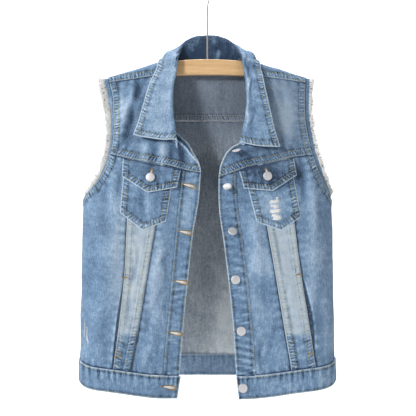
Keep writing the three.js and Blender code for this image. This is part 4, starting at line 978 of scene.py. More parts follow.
def make_pucker_group():
    """Short ridges across a seam, from the distance along it and how much the thread draws it in."""
    group, given, out = new_group(
        "Seam puckers",
        [("Along", "NodeSocketFloat", 0.0), ("Drawn", "NodeSocketFloat", 0.0)],
        [("Ridge", "NodeSocketFloat")],
    )
    place = add(group, "ShaderNodeTexCoord").outputs["Object"]
    wander = calc(group, "MULTIPLY", noise(group, place, 75.0), 9.0)
    turn = calc(group, "MULTIPLY_ADD", given["Along"], 2 * math.pi / 5.6, wander)
    slower = calc(group, "MULTIPLY", wander, 1.7)
    second = calc(group, "MULTIPLY_ADD", given["Along"], 2 * math.pi / 9.1, slower)
    ridge = calc(group, "MULTIPLY_ADD", calc(group, "SINE", second), 0.6, calc(group, "SINE", turn))
    pull = calc(group, "MULTIPLY_ADD", noise(group, place, 55.0), 3.2, -1.0, clamp=True)
    ridge = calc(group, "MULTIPLY", ridge, calc(group, "MULTIPLY_ADD", pull, 0.8, 0.25))
    group.links.new(calc(group, "MULTIPLY", ridge, given["Drawn"]), out["Ridge"])
    return group


WASH_COLOURS = {
    "Deep": (35, 59, 88), "Blue": (112, 144, 177), "Pale": (190, 212, 234), "Dust": (180, 190, 195),
}
WASH_VALUES = {
    "Worn": 0.0, "Fade": 0.0, "Grey": 0.0, "Weft": 0.0, "Ridge": 0.0, "Mottle": 0.34, "Depth": 0.44,
}


def make_wash_group():
    group, given, out = new_group(
        "Denim wash",
        [(name, "NodeSocketColor", shade(*rgb)) for name, rgb in WASH_COLOURS.items()]
        + [(name, "NodeSocketFloat", value) for name, value in WASH_VALUES.items()],
        [("Color", "NodeSocketColor"), ("Height", "NodeSocketFloat")],
    )
    place = add(group, "ShaderNodeTexCoord").outputs["Object"]
    clouds = calc(group, "SUBTRACT", noise(group, place, 38.0, 4.0), 0.5)
    specks = calc(group, "SUBTRACT", noise(group, place, 210.0, 3.0), 0.5)
    tall = add(group, "ShaderNodeVectorMath", [place, (1.0, 1.0, 0.09)], operation="MULTIPLY").outputs[0]
    slub = calc(group, "SUBTRACT", noise(group, tall, 620.0, 2.0), 0.5)
    # Fade and Worn carry painted light and shade as well as bleaching and wear.
    value = calc(group, "MULTIPLY_ADD", given["Fade"], 0.5, given["Depth"])
    value = calc(group, "MULTIPLY_ADD", given["Worn"], 0.44, value)
    ridge = calc(group, "MULTIPLY", given["Ridge"], calc(group, "MULTIPLY_ADD", given["Grey"], -0.9, 1.0))
    value = calc(group, "MULTIPLY_ADD", ridge, 0.26, value)
    grain = calc(group, "SUBTRACT", noise(group, place, 520.0, 2.0), 0.5)
    for part, share in ((clouds, 0.7), (specks, 1.4), (slub, 1.4), (grain, 1.8)):
        value = calc(group, "MULTIPLY_ADD", part, calc(group, "MULTIPLY", given["Mottle"], share), value)
    value = calc(group, "MULTIPLY_ADD", given["Weft"], 0.1, value)
    low = calc(group, "MULTIPLY", value, 2.0, clamp=True)
    high = calc(group, "MULTIPLY_ADD", value, 2.0, -1.0, clamp=True)
    blue = blend(group, high, blend(group, low, given["Deep"], given["Blue"]), given["Pale"])
    pale = calc(group, "MULTIPLY_ADD", value, 1.1, 0.1, clamp=True)
    dusty = blend(group, pale, given["Blue"], given["Dust"])
    group.links.new(blend(group, given["Grey"], blue, dusty), out["Color"])
    group.links.new(calc(group, "ADD", calc(group, "MULTIPLY", specks, 0.6), slub), out["Height"])
    return group


twill_group = make_twill_group()
pucker_group = make_pucker_group()
wash_group = make_wash_group()
print("node groups:", ", ".join(group.name for group in (twill_group, pucker_group, wash_group)))

# %% [markdown]
# The materials are Principled shaders. Denim is almost matt, with a little sheen from its fuzz. The reverse
# of the cloth shows more of the white weft, so it is greyer. Thread is tan with gold at the buttonholes.

# %% Materials
def new_material(name, roughness, metallic=0.0, sheen=0.0):
    material = bpy.data.materials.new(name)
    material.use_nodes = True
    tree = material.node_tree
    shader = tree.nodes["Principled BSDF"]
    shader.inputs["Roughness"].default_value = roughness
    shader.inputs["Metallic"].default_value = metallic
    shader.inputs["Sheen Weight"].default_value = sheen
    return material, tree, shader.inputs


def value_of(tree, name):
    return add(tree, "ShaderNodeAttribute", attribute_name=name).outputs["Fac"]


WEAVE_RELIEF = 0.35


def bump_up(tree, into, strength, distance, height):
    bump = add(tree, "ShaderNodeBump", {"Strength": strength, "Distance": distance, "Height": height})
    tree.links.new(bump.outputs["Normal"], into["Normal"])


def make_denim(name, depth, mottle, **colours):
    material, tree, into = new_material(name, 0.88, sheen=0.08)
    twill = add(tree, "ShaderNodeGroup", node_tree=twill_group)
    wash = add(tree, "ShaderNodeGroup", {"Depth": depth, "Mottle": mottle}, node_tree=wash_group)
    for socket, rgb in colours.items():
        wash.inputs[socket].default_value = shade(*rgb)
    for attribute in ("Worn", "Fade", "Grey"):
        tree.links.new(value_of(tree, attribute.lower()), wash.inputs[attribute])
    puckers = add(tree, "ShaderNodeGroup", node_tree=pucker_group)
    tree.links.new(value_of(tree, "along"), puckers.inputs["Along"])
    tree.links.new(value_of(tree, "seam"), puckers.inputs["Drawn"])
    tree.links.new(puckers.outputs["Ridge"], wash.inputs["Ridge"])
    tree.links.new(twill.outputs["Weft"], wash.inputs["Weft"])
    tree.links.new(wash.outputs["Color"], into["Base Color"])
    height = calc(tree, "MULTIPLY_ADD", wash.outputs["Height"], 0.8, twill.outputs["Height"])
    height = calc(tree, "MULTIPLY_ADD", puckers.outputs["Ridge"], 1.6, height)
    bump_up(tree, into, 0.8, WEAVE_RELIEF * MM, height)
    return material


def make_thread(name, light, dark, roughness=0.7, marks=None):
    """Twisted thread: its two plies show as fine slanting lines of light and dark."""
    material, tree, into = new_material(name, roughness, sheen=0.1)
    place = add(tree, "ShaderNodeTexCoord").outputs["Object"]
    ply = noise(tree, place, 2200.0, 1.0)
    fade = noise(tree, place, 130.0, 2.0)
    share = calc(tree, "ADD", calc(tree, "MULTIPLY", ply, 0.5), calc(tree, "MULTIPLY", fade, 0.5))
    spread = calc(tree, "MULTIPLY_ADD", share, 2.4, -0.7, clamp=True)
    color = blend(tree, spread, shade(*dark), shade(*light))
    if marks:
        # Dark patches of painted shade stand for the shadows between frayed threads.
        painted_shadow_share = calc(tree, "MULTIPLY_ADD", noise(tree, place, 200.0, 2.0), -17.0, 6.7, clamp=True)
        color = blend(tree, painted_shadow_share, color, shade(*marks))
    tree.links.new(color, into["Base Color"])
    bump_up(tree, into, 0.5, 0.2 * MM, ply)
    return material


def make_metal(name, dark, light, metallic):
    """Plated metal, matt and a little dulled by washing."""
    material, tree, into = new_material(name, 0.32, metallic=metallic)
    place = add(tree, "ShaderNodeTexCoord").outputs["Object"]
    dull = noise(tree, place, 300.0, 3.0)
    tree.links.new(blend(tree, dull, shade(*dark), shade(*light)), into["Base Color"])
    tree.links.new(calc(tree, "MULTIPLY_ADD", dull, 0.3, 0.3), into["Roughness"])
    bump_up(tree, into, 0.15, 0.2 * MM, noise(tree, place, 1500.0))
    return material


def make_wood():
    """Clear beech with long fine grain along the bar."""
    material, tree, into = new_material("Lacquered beech", 0.42)
    into["Coat Weight"].default_value = 0.25
    into["Coat Roughness"].default_value = 0.3
    place = add(tree, "ShaderNodeTexCoord").outputs["Object"]
    along = add(tree, "ShaderNodeVectorMath", [place, (0.05, 1.0, 1.0)], operation="MULTIPLY").outputs[0]
    grain = noise(tree, along, 420.0, 4.0, 0.6)
    broad = noise(tree, along, 60.0, 2.0)
    pores = add(tree, "ShaderNodeVectorMath", [place, (0.12, 1.0, 1.0)], operation="MULTIPLY").outputs[0]
    flecks = calc(tree, "GREATER_THAN", noise(tree, pores, 1400.0, 1.0), 0.68)
    share = calc(tree, "ADD", calc(tree, "MULTIPLY", grain, 0.6), calc(tree, "MULTIPLY", broad, 0.4))
    spread = calc(tree, "MULTIPLY_ADD", share, 2.6, -0.8, clamp=True)
    wood = blend(tree, spread, shade(198, 158, 110), shade(232, 196, 148))
    dark = calc(tree, "MULTIPLY", flecks, 0.35)
    tree.links.new(blend(tree, dark, wood, shade(150, 105, 60)), into["Base Color"])
    bump_up(tree, into, 0.2, 0.2 * MM, grain)
    return material


denim = make_denim("Washed blue denim", 0.44, 0.34)
# The reverse's pale is near white so that the painted pool of light inside the back can reach it.
denim_reverse = make_denim(
    "Denim reverse", 0.5, 0.26, Deep=(76, 88, 104), Blue=(138, 150, 166), Pale=(247, 254, 255),
    Dust=(180, 185, 190),
)
tan_thread = make_thread("Tan topstitch thread", (208, 202, 150), (124, 120, 74))
pale_thread = make_thread("Pale seam thread", (214, 214, 206), (160, 162, 158))
gold_thread = make_thread("Gold buttonhole thread", (194, 162, 88), (94, 76, 34))
white_thread = make_thread("Frayed weft", (255, 255, 253), (240, 240, 238), 0.9)
# The armhole fringe carries dark patches of painted shade.
fringe_thread = make_thread("Frayed armhole", (255, 255, 253), (240, 240, 238), 0.9, marks=(74, 78, 86))
nickel = make_metal("Matt nickel", (196, 197, 200), (226, 226, 228), 0.5)
wire_steel = make_metal("Plated wire", (128, 126, 120), (158, 155, 148), 0.3)
beech = make_wood()
print(len(bpy.data.materials), "materials, CAD ones among them")

# %% [markdown]
# Each front has four panels side by side: the placket that carries the buttons or buttonholes, the centre,
# the faded strip whose felled edges lie on top, and the side panel that runs up to the armhole.

# %% Fronts
GAP = SEAM_GAP / 2
POCKET_MOUTH = {"right": (-590, -724), "left": (-566, -700)}  # height of both ends
POCKET_GAPE = {"right": 2.2, "left": 4.6}
SIDE_RISE = 7.5
YOKE_OUTER = -350.0  # height of the yoke seam at the armhole
SHOULDER_TIP = -208.0  # height of the armhole's top


def hem_at(w):
    """Height of the hem, which dips in front and rises a little at the side seams."""
    rise = SIDE_RISE * bell(np.abs(w) - side_at(HEM), 28)
    return HEM - HEM_DIP * (1 - ease((np.abs(w) - 50) / 180)) + rise


def band_top(w):
    return hem_at(w) + WAISTBAND_HEIGHT + SEAM_GAP + 0.1


def pair(a, b):
    return np.stack(np.broadcast_arrays(a, b), axis=-1).astype(float)


def down_line(hand, name, shift):
    lines = LINES[hand]
    top = lines["yoke"](lines[name](-370)) - GAP
    low = band_top(lines[name](-733) + shift)

    def line(t):
        z = mix(low, top, t)
        return pair(lines[name](z) + shift, z)

    return line


def arm_edge(part, z):
    """Distance of the armhole's edge from the centre, at a height on a front or the back."""
    return side_at(z) - LINES[part]["armhole"](z) - GAP


def side_edge(low, end, armhole):
    """The outer edge of a front or the back: up the side seam and round the armhole."""
    rise = [(side_at(z) - GAP, z) for z in (low, UNDERARM)]
    curve = [(side_at(z) - g - GAP, z) for z, g in armhole if z < end[1] - 12]
    return Route(np.vstack([spline(rise), spline([*curve, end])[1:]]))


def between(hand, west, east):
    def south(t):
        w = mix(west(0.0)[0], east(0.0)[0], t)
        return pair(w, band_top(w))

    def north(t):
        w = mix(west(1.0)[0], east(1.0)[0], t)
        return pair(w, LINES[hand]["yoke"](w) - GAP)

    return patch(south, north, west, east)


def build_front(hand):
    side = SIDE[hand]
    lines = LINES[hand]
    space = on_front(side)
    tall = spaced(360)
    centre = between(hand, down_line(hand, "placket", GAP), down_line(hand, "strip_in", -GAP))
    edges = {"west": "flush", "east": "under", "south": "under", "north": "under"}
    cut = Cut(f"front_centre_{hand}_cloth", centre, space, spaced(50), tall, edges, seed=0.7)
    keep(cut, f"front_centre_{hand}")

    def lap(at):
        """On the wearer's right the inner seam was pressed the other way, with its pale ridge inside."""
        inner = at[..., 0] - lines["strip_in"](at[..., 1])
        outer = lines["strip_out"](at[..., 1]) - at[..., 0]
        ridge = bell(inner - 11.8, 1.4) * (hand == "right") + 0.6 * bell(outer - 11.6, 1.4)
        hollow = 0.8 * bell(inner - 14.2, 1.8) + 0.6 * bell(outer - 14.0, 1.8)
        turned = 1.7 * bell(inner - 0.4, 1.6) * (hand == "right")
        return 0.35 * ridge - 0.2 * hollow, 0.9 * ridge - 0.5 * hollow - turned

    strip = between(hand, down_line(hand, "strip_in", GAP), down_line(hand, "strip_out", -GAP))
    edges = {"west": "fell", "east": "fell", "south": "under", "north": "under"}
    across = spaced(52, step=2.0)
    cut = Cut(f"front_strip_{hand}_cloth", strip, space, across, tall, edges, seed=1.9, extra=lap)
    keep(cut, f"front_strip_{hand}", slot="faded_denim", bleach=bleached_strip)

    end_x = arm_edge(hand, YOKE_OUTER)
    low = band_top(side_at(HEM))
    east = side_edge(low, (end_x, lines["yoke"](end_x) - GAP), ARMHOLE[hand])

    def pocket_slit(at):
        """The mouth of the hand pocket gapes beside the strip, with painted shade in the gap and a paler lip.
        """
        high, deep = POCKET_MOUTH[hand]
        share = np.clip((high - at[..., 1]) / (high - deep), 0, 1)
        inside = ease(share * 8) * ease((1 - share) * 12)
        away = POCKET_GAPE[hand] * np.sin(math.pi * share)
        off = at[..., 0] - lines["strip_out"](at[..., 1]) - away
        gap = bell(off, 1.9 + 0.3 * away) * inside
        lip = bell(off - 3.4 - 0.2 * away, 1.8) * inside
        return 0.8 * lip - 1.2 * gap, 0.7 * lip - 1.9 * gap

    edges = {"west": "under", "east": "fell", "south": "under", "north": "under"}
    start = (UNDERARM - low) / east.total
    panel = between(hand, down_line(hand, "strip_out", SEAM_GAP), east)
    cut = Cut(
        f"front_side_{hand}_cloth", panel, space, spaced(80), spaced(420, step=2.6), edges, seed=2.6,
        spans={"east": [(start, 1.2)]}, extra=pocket_slit,
    )
    keep(cut, f"front_side_{hand}")

    placket = between(hand, down_line(hand, "edge", 0.0), down_line(hand, "placket", -GAP))

    def cross_ripples(at):
        """The stiff placket buckles crosswise, mostly below the chest: worn crests, painted shade in the
        troughs.
        """
        wave = slow_pucker(1.1 * at[..., 1] + 0.25 * at[..., 0], 5.0 + side)
        fine_wave = slow_pucker(2.3 * at[..., 1] - 0.5 * at[..., 0], 2.0 + side)
        share = (0.6 if hand == "left" else 0.35) + 0.5 * ease((-520 - at[..., 1]) / 100)
        wave = (0.7 * wave + 0.45 * fine_wave) * share
        return 0.8 * wave, 0.6 * wave

    edges = {"west": "folded", "east": "flat", "south": "under", "north": "under"}
    cut = Cut(
        f"placket_{hand}_cloth", placket, space, spaced(32, step=2.4), tall, edges, DOUBLE_CLOTH, seed=3.4,
        extra=cross_ripples,
    )
    keep(cut, f"placket_{hand}", lined=True)


def build_yoke(hand):
    side = SIDE[hand]
    lines = LINES[hand]
    start = down_line(hand, "edge", 0.0)(1.0)[0]
    end_x = arm_edge(hand, YOKE_OUTER)

    def south(t):
        w = mix(start, end_x, t)
        return pair(w, from_top(w, lines["yoke"](w) + GAP, -1))

    neck = [south(0.0), *[(x, from_top(x, z, -1)) for x, z in YOKE_EDGE[hand]]]
    above = neck[-1][1] + 12
    neck += [row for row in reversed(NECKLINE[hand]) if above < row[1] < -SHOULDER_SEAM["neck"] - 8]
    neck.append((SEAM_AT_NECK[hand], -SHOULDER_SEAM["neck"] - GAP))
    arm = [south(1.0)]
    for z, g in ARMHOLE[hand]:
        w = side_at(z) - g - GAP
        s = from_top(w, z, -1)
        if z > lines["yoke"](end_x) + 8 and s < -SHOULDER_SEAM["arm"] - 8:
            arm.append((w, s))
    arm.append((arm_edge(hand, SHOULDER_TIP), -SHOULDER_SEAM["arm"] - GAP))
    west, east = route(neck), route(arm)

    def north(t):
        return mix(west(1.0), east(1.0), np.asarray(t)[..., None])

    def space(w, s, lift):
        return on_shoulder(side * w, s, lift)

    free_edge = west(np.linspace(0, 0.6, 70))

    def neck_roll(at):
        """The free neck edge is worn pale on the left; on the wearer's right it is painted as rolled back,
        with painted shade.
        """
        d, _ = nearest(at, free_edge)
        if hand == "left":
            return np.zeros_like(d), 0.6 * bell(d - 0.5, 2.2)
        low = from_top(at[..., 0], -374, -1)
        high = from_top(at[..., 0], -302, -1)
        share = ease((high - at[..., 1]) / 10)
        wide = mix(1.0, 8.6, ease((at[..., 1] - low) / 46))
        rolled = 1 - ease((d - wide + 5) / 5)
        return -0.5 * rolled * share, (1.6 * bell(d - wide, 1.4) - 0.75 * rolled) * share

    edges = {"south": "fell", "east": "fell", "west": "folded", "north": "under"}
    cut = Cut(
        f"front_yoke_{hand}_cloth", patch(south, north, west, east), space, spaced(150, step=2.5),
        spaced(150, step=2.5), edges, seed=4.1, extra=neck_roll,
    )
    keep(cut, f"front_yoke_{hand}")


for hand in SIDE:
    build_front(hand)
    build_yoke(hand)

# %% [markdown]
# The back is one panel below a yoke. The yoke turns over the hanger and meets the front yokes before the
# shoulder top. Its inner face shows through the open front.

# %% Back
def rear_centre(z):
    return 2 * side_at(z)


def build_back():
    def space(c, z, lift):
        side = np.where(c < 0, -1.0, 1.0)
        return on_body(side, rear_centre(z) - np.abs(c), z, lift)

    low = band_top(side_at(HEM)) - 0.1
    top = BACK_YOKE_SEAM - GAP
    east = side_edge(low, (arm_edge("back", top), top), ARMHOLE["back"])

    def west(t):
        return east(t) * (-1, 1)

    def hem_line(t):
        c = mix(-east(0.0)[0], east(0.0)[0], t)
        return pair(c, band_top(rear_centre(HEM) - np.abs(c)) - 0.1)

    def yoke_line(t):
        return pair(mix(-east(1.0)[0], east(1.0)[0], t), top)

    edges = {"west": "fell", "east": "fell", "south": "under", "north": "under"}
    pattern = patch(hem_line, yoke_line, west, east)
    us, vs = spaced(440, step=3.4), spaced(480, step=3.4)
    cut = Cut("back_panel_cloth", pattern, space, us, vs, edges, seed=5.2)
    keep(cut, "back_panel", face=1, inside=inside_painted_shading)

    arm_end = -SHOULDER_SEAM["arm"] + GAP
    neck_end = -SHOULDER_SEAM["neck"] + GAP
    seam_x = arm_edge("back", BACK_YOKE_SEAM)

    def south(t):
        w = mix(-seam_x, seam_x, t)
        return pair(w, from_top(w, BACK_YOKE_SEAM + GAP, 1))

    def shoulder_edge(sign, hand):
        knots = [(sign * seam_x, south(0.0)[1])]
        for z in (-250, -225):
            w = arm_edge("back", z)
            knots.append((sign * w, from_top(w, z, 1)))
        end = arm_edge(hand, SHOULDER_TIP)
        knots += [(sign * (end + 0.5), QUARTER), (sign * (end + 1), 0), (sign * end, arm_end)]
        return route(knots)

    east2, west2 = shoulder_edge(1, "left"), shoulder_edge(-1, "right")
    necks = {}
    for hand, sign in SIDE.items():
        necks[hand] = [(sign * x, s) for x, s in NECKLINE[hand] if s > neck_end + 4]
        necks[hand].append((sign * SEAM_AT_NECK[hand], neck_end))
    neckline = route([*necks["right"][::-1], *necks["left"][1:]])
    share = 0.3

    def north(t):
        t = np.asarray(t, float)[..., None]
        right = mix(west2(1.0), neckline(0.0), np.clip(t / share, 0, 1))
        left = mix(neckline(1.0), east2(1.0), np.clip((t - 1 + share) / share, 0, 1))
        round_neck = neckline(((t - share) / (1 - 2 * share))[..., 0])
        return np.where(t < share, right, np.where(t > 1 - share, left, round_neck))

    edges = {"south": "fell", "north": "shoulder"}
    spans = {"north": [(-0.2, 0.32), (0.68, 1.2)]}
    cut = Cut(
        "back_yoke_cloth", patch(south, north, west2, east2), on_shoulder, spaced(440, step=3.2),
        spaced(170, step=2.6), edges, seed=6.0, spans=spans,
    )
    keep(cut, "back_yoke", face=1, inside=inside_painted_shading)


build_back()

# %% [markdown]
# Chest pockets are five-cornered patches with a pointed flap over them. Both lie on the front and follow its
# folds, so they are made from the same surface, moved out. A pocket's edge is sewn down, so its inner face
# dips to the panel there.

# %% Pockets and flaps
CORNERS = ("top_in", "top_out", "low_in", "tip", "low_out")
POCKETS = {  # distance from the centre and height of each corner
    "right": [(62, -398), (152, -384), (73.5, -471), (115, -487.5), (156.5, -456)],
    "left": [(70, -399), (154.5, -382), (87.5, -472), (131.6, -487.5), (168, -463.5)],
}
FLAPS = {
    "right": [(47.5, -377.5), (153, -356.5), (54.5, -411), (107, -420.5), (153.6, -391)],
    "left": [(57, -379.5), (157, -356), (65.5, -413), (117, -417.5), (161, -389)],
}


def five_corners(corners):
    at = {name: np.array(corner, float) for name, corner in zip(CORNERS, corners)}
    share = (at["tip"][0] - at["low_in"][0]) / (at["low_out"][0] - at["low_in"][0])

    def pattern(u, v):
        u, v = np.broadcast_arrays(np.asarray(u, float), np.asarray(v, float))
        a = u[..., None]
        low = np.where(
            a < share,
            mix(at["low_in"], at["tip"], a / share),
            mix(at["tip"], at["low_out"], (a - share) / (1 - share)),
        )
        return mix(low, mix(at["top_in"], at["top_out"], a), v[..., None])

    return pattern


def fell_below(hand, w, z):
    """Height of the strip's felled edges under a pocket."""
    inner = w - LINES[hand]["strip_in"](z)
    outer = LINES[hand]["strip_out"](z) - w
    raised = sum(ease(np.minimum(d, FELL_WIDTH + 2 - d) + 1) for d in (inner, outer))
    return CLOTH + FELL_RAISE * np.clip(raised, 0, 1)


def build_pocket(hand):
    space = on_front(SIDE[hand])
    pattern = five_corners(POCKETS[hand])
    fine = np.linspace(0, 1, 61)
    sewn_line = np.concatenate([pattern(0.0, fine[::-1]), pattern(fine, 0.0), pattern(1.0, fine)])

    def base(w, z):
        d, _ = nearest(pair(w, z), sewn_line)
        return mix(fell_below(hand, w, z) + 0.1, POCKET_LIFT, ease(d / 6))

    edges = {"west": "double", "east": "double", "south": "double", "north": "folded"}
    us, vs = spaced(88, step=2.2), spaced(85, step=2.2)
    cut = Cut(f"chest_pocket_{hand}_cloth", pattern, space, us, vs, edges, base=base, seed=7.1)
    keep(cut, f"chest_pocket_{hand}", lined=True)

    flap = five_corners(FLAPS[hand])
    top = flap(fine, 1.0)
    tip = flap(fine, 0.0)

    def flap_base(w, z):
        d, _ = nearest(pair(w, z), top)
        free, _ = nearest(pair(w, z), tip)
        return mix(POCKET_LIFT, FLAP_LIFT, ease(d / 11)) + 1.8 * ease(1 - free / 13) * ease(d / 20)

    edges = {"west": "double", "east": "double", "south": "double", "north": "under"}
    us, vs = spaced(104, step=2.2), spaced(40, step=2.2)
    cut = Cut(f"pocket_flap_{hand}_cloth", flap, space, us, vs, edges, base=flap_base, seed=8.3)
    keep(cut, f"pocket_flap_{hand}", lined=True)


for hand in SIDE:
    build_pocket(hand)

# %% [markdown]
# The waistband is one strip round the hem, closed only by its last button, so it ends at both fronts. The
# seam above it gathers the panels a little, which makes the upright ripples at its top.

# %% Waistband
BAND_ENDS = {"right": (53.0, 46.5), "left": (55.0, 50.5)}  # distance from the centre, low and high


def band_space(c, h, lift):
    w = rear_centre(HEM) - np.abs(c)
    z = hem_at(w) + h
    ripple = 0.7 * slow_pucker(c, 2.0) * ease(h / WAISTBAND_HEIGHT) ** 2 + 0.5 * uneven(c, h * 2, 40, 21)
    return on_body(np.where(c < 0, -1.0, 1.0), w, z, lift + ripple)


def build_waistband():
    def pattern(u, v):
        u, v = np.broadcast_arrays(np.asarray(u, float), np.asarray(v, float))
        start = mix(*BAND_ENDS["right"], v) - rear_centre(HEM)
        end = rear_centre(HEM) - mix(*BAND_ENDS["left"], v)
        return pair(mix(start, end, u), v * WAISTBAND_HEIGHT)

    def gathers(at):
        """Upright ripples where the panels are gathered into the band: a little height, with painted light
        and shade.
        """
        c, h = at[..., 0], at[..., 1]
        wave = slow_pucker(0.95 * c, 2.0)
        fine_wave = slow_pucker(1.7 * c, 6.0)
        share = ease(h / WAISTBAND_HEIGHT * 1.2) ** 3
        return 0.25 * fine_wave * share, (0.5 * wave + 0.7 * fine_wave) * share

    edges = dict.fromkeys(("west", "east", "south", "north"), "folded")
    us, vs = spaced(900), spaced(40, step=2.4)
    cut = Cut("waistband_cloth", pattern, band_space, us, vs, edges, BAND_CLOTH, seed=9.2, extra=gathers)
    keep(cut, "waistband", lined=True, inside=lambda x, z: 0.35 + 0 * x)


build_waistband()

# %% [markdown]
# The collar stands up from the neckline, rolls over and falls to its free edge. Each cross section is a
# smooth curve through five points, and the whole collar runs through these sections. Its two layers show
# their good side on both faces.

# %% Collar
COLLAR = {  # x, y and z of the roll line and of the free edge, from the centre back to the front end
    "right": {
        "roll": [
            (0, 24, -113.5), (21, 22, -116), (38.5, 19, -123.5), (48.5, 12, -138.5), (53.5, -4, -160),
            (59, -21, -194), (64, -32, -220), (65, -42, -250), (62.5, -51.5, -285), (57, -59, -323),
        ],
        "edge": [
            (0, 40, -158), (30, 39, -160), (56, 32, -163), (77, 18, -166), (90, 0, -168), (96, -17, -186),
            (109, -35, -222), (119, -47, -262), (127, -55, -292), (134.5, -60.5, -314),
        ],
    },
    "left": {
        "roll": [
            (0, 24, -113.5), (21, 22, -116), (39.5, 19, -123), (53.5, 12, -138.5), (63, -5, -163),
            (70, -23, -198), (73, -35, -232), (72.5, -45, -265), (66, -54, -298), (60.5, -59.5, -327),
        ],
        "edge": [
            (0, 40, -158), (30, 39, -160), (60, 32, -164), (85, 18, -169), (97, 0, -171), (101, -17, -188),
            (107.5, -36, -226), (115, -50, -266), (122, -58, -302), (132, -62.5, -336),
        ],
    },
}
COLLAR_BELLY = 3.0  # how far the stand and the fall bow away from each other
COLLAR_HIP = 13.0  # how far the fall stands out beside the neck
HIP_WAY = (0.85, -0.6, 0.4)  # outwards, forwards and up
COLLAR_SAG = 6.0  # of the front ends
COLLAR_SEAT = (3.0, 3.6)
COLLAR_CLEAR = DOUBLE_CLOTH / 2 + CLOTH + 2.1


def through(knots, t):
    """Centripetal curves through knots (curves, knots, xyz), at shares t of the knots."""
    p = np.concatenate([2 * knots[:, :1] - knots[:, 1:2], knots, 2 * knots[:, -1:] - knots[:, -2:-1]], axis=1)
    where = np.asarray(t, float) * (knots.shape[1] - 1)
    i = np.minimum(where.astype(int), knots.shape[1] - 2)
    f = (where - i)[None, :, None]
    p0, p1, p2, p3 = (p[:, i + k] for k in range(4))
    pairs = ((p0, p1), (p1, p2), (p2, p3))
    d0, d1, d2 = (np.linalg.norm(b - a, axis=-1, keepdims=True) ** 0.5 for a, b in pairs)
    start = ((p1 - p0) / d0 - (p2 - p0) / (d0 + d1) + (p2 - p1) / d1) * d1
    end = ((p2 - p1) / d1 - (p3 - p1) / (d1 + d2) + (p3 - p2) / d2) * d1
    cubic = 2 * p1 - 2 * p2 + start + end
    square = -3 * p1 + 3 * p2 - 2 * start - end
    return cubic * f**3 + square * f**2 + start * f + p1


def collar_guide(name, u):
    right = np.array(COLLAR["right"][name], float)[::-1] * (-1, 1, 1)
    left = np.array(COLLAR["left"][name], float)[1:]
    return through(np.concatenate([right, left])[None], u)[0]


def held_off(p):
    """Where the fall lies on the body it is held clear of the cloth below it."""
    drop = shoulder_top(p[..., 0]) - p[..., 2]
    away = np.hypot(p[..., 1], SHOULDER_ROUND - drop)
    grow = np.maximum(1, (SHOULDER_ROUND + COLLAR_CLEAR) / np.maximum(away, 1e-6))
    over = drop < SHOULDER_ROUND
    below = np.maximum(drop, SHOULDER_ROUND)
    front = -front_reach(below) - COLLAR_CLEAR - relief(p[..., 0], p[..., 2], -1)
    back = back_reach(below) + COLLAR_CLEAR + relief(p[..., 0], p[..., 2], 1)
    flat_y = np.where(p[..., 1] < 0, np.minimum(p[..., 1], front), np.maximum(p[..., 1], back))
    y = np.where(over, p[..., 1] * grow, flat_y)
    z = np.where(over, p[..., 2] + (SHOULDER_ROUND - drop) * (grow - 1), p[..., 2])
    return points(p[..., 0], y, z)


def collar_middle(u, v):
    knots = spline([(-x, s) for x, s in NECKLINE["right"][::-1]] + list(NECKLINE["left"][1:]), fine=60)
    where = u * (len(knots) - 1)
    w = np.interp(where, np.arange(len(knots)), knots[:, 0])
    s = np.interp(where, np.arange(len(knots)), knots[:, 1])
    over_placket = ease((-150 - s) / 20) * (DOUBLE_CLOTH - CLOTH)
    seat = on_shoulder(w, s, mix(*COLLAR_SEAT, ease((10 - s) / 40)) + over_placket)
    roll = collar_guide("roll", u)
    edge = collar_guide("edge", u)
    apart = seat - edge
    rise = unit(roll - mix(seat, edge, 0.5))
    spread = unit(apart - rise * (apart * rise).sum(axis=-1, keepdims=True)) * COLLAR_BELLY
    stand = mix(seat, roll, 0.62) + spread
    hip = COLLAR_HIP * bell(roll[:, 1:2] - 3, 14) * (np.sign(roll[:, :1]) ** (1, 2, 2)) * HIP_WAY
    fall = mix(roll, edge, 0.38) - spread + hip
    p = through(np.stack([seat, stand, roll, fall, edge], axis=1), v)
    p = np.where((v > 0.25)[None, :, None], held_off(p), p)
    run = np.linalg.norm(np.diff(edge, axis=0), axis=1)
    run = np.concatenate([[0], np.cumsum(run)])
    sag = COLLAR_SAG * (bell(run, 26) + bell(run[-1] - run, 26))
    hang = np.sin(math.pi * np.clip((v - 0.5) / 0.5, 0, 1)) * (v > 0.5)
    p[..., 2] = p[..., 2] - sag[:, None] * hang[None, :]
    return p


FINE_U, FINE_V = 460, 90  # steps of the collar's fine grid, along it and across
FOLD_ROW = FINE_V // 2


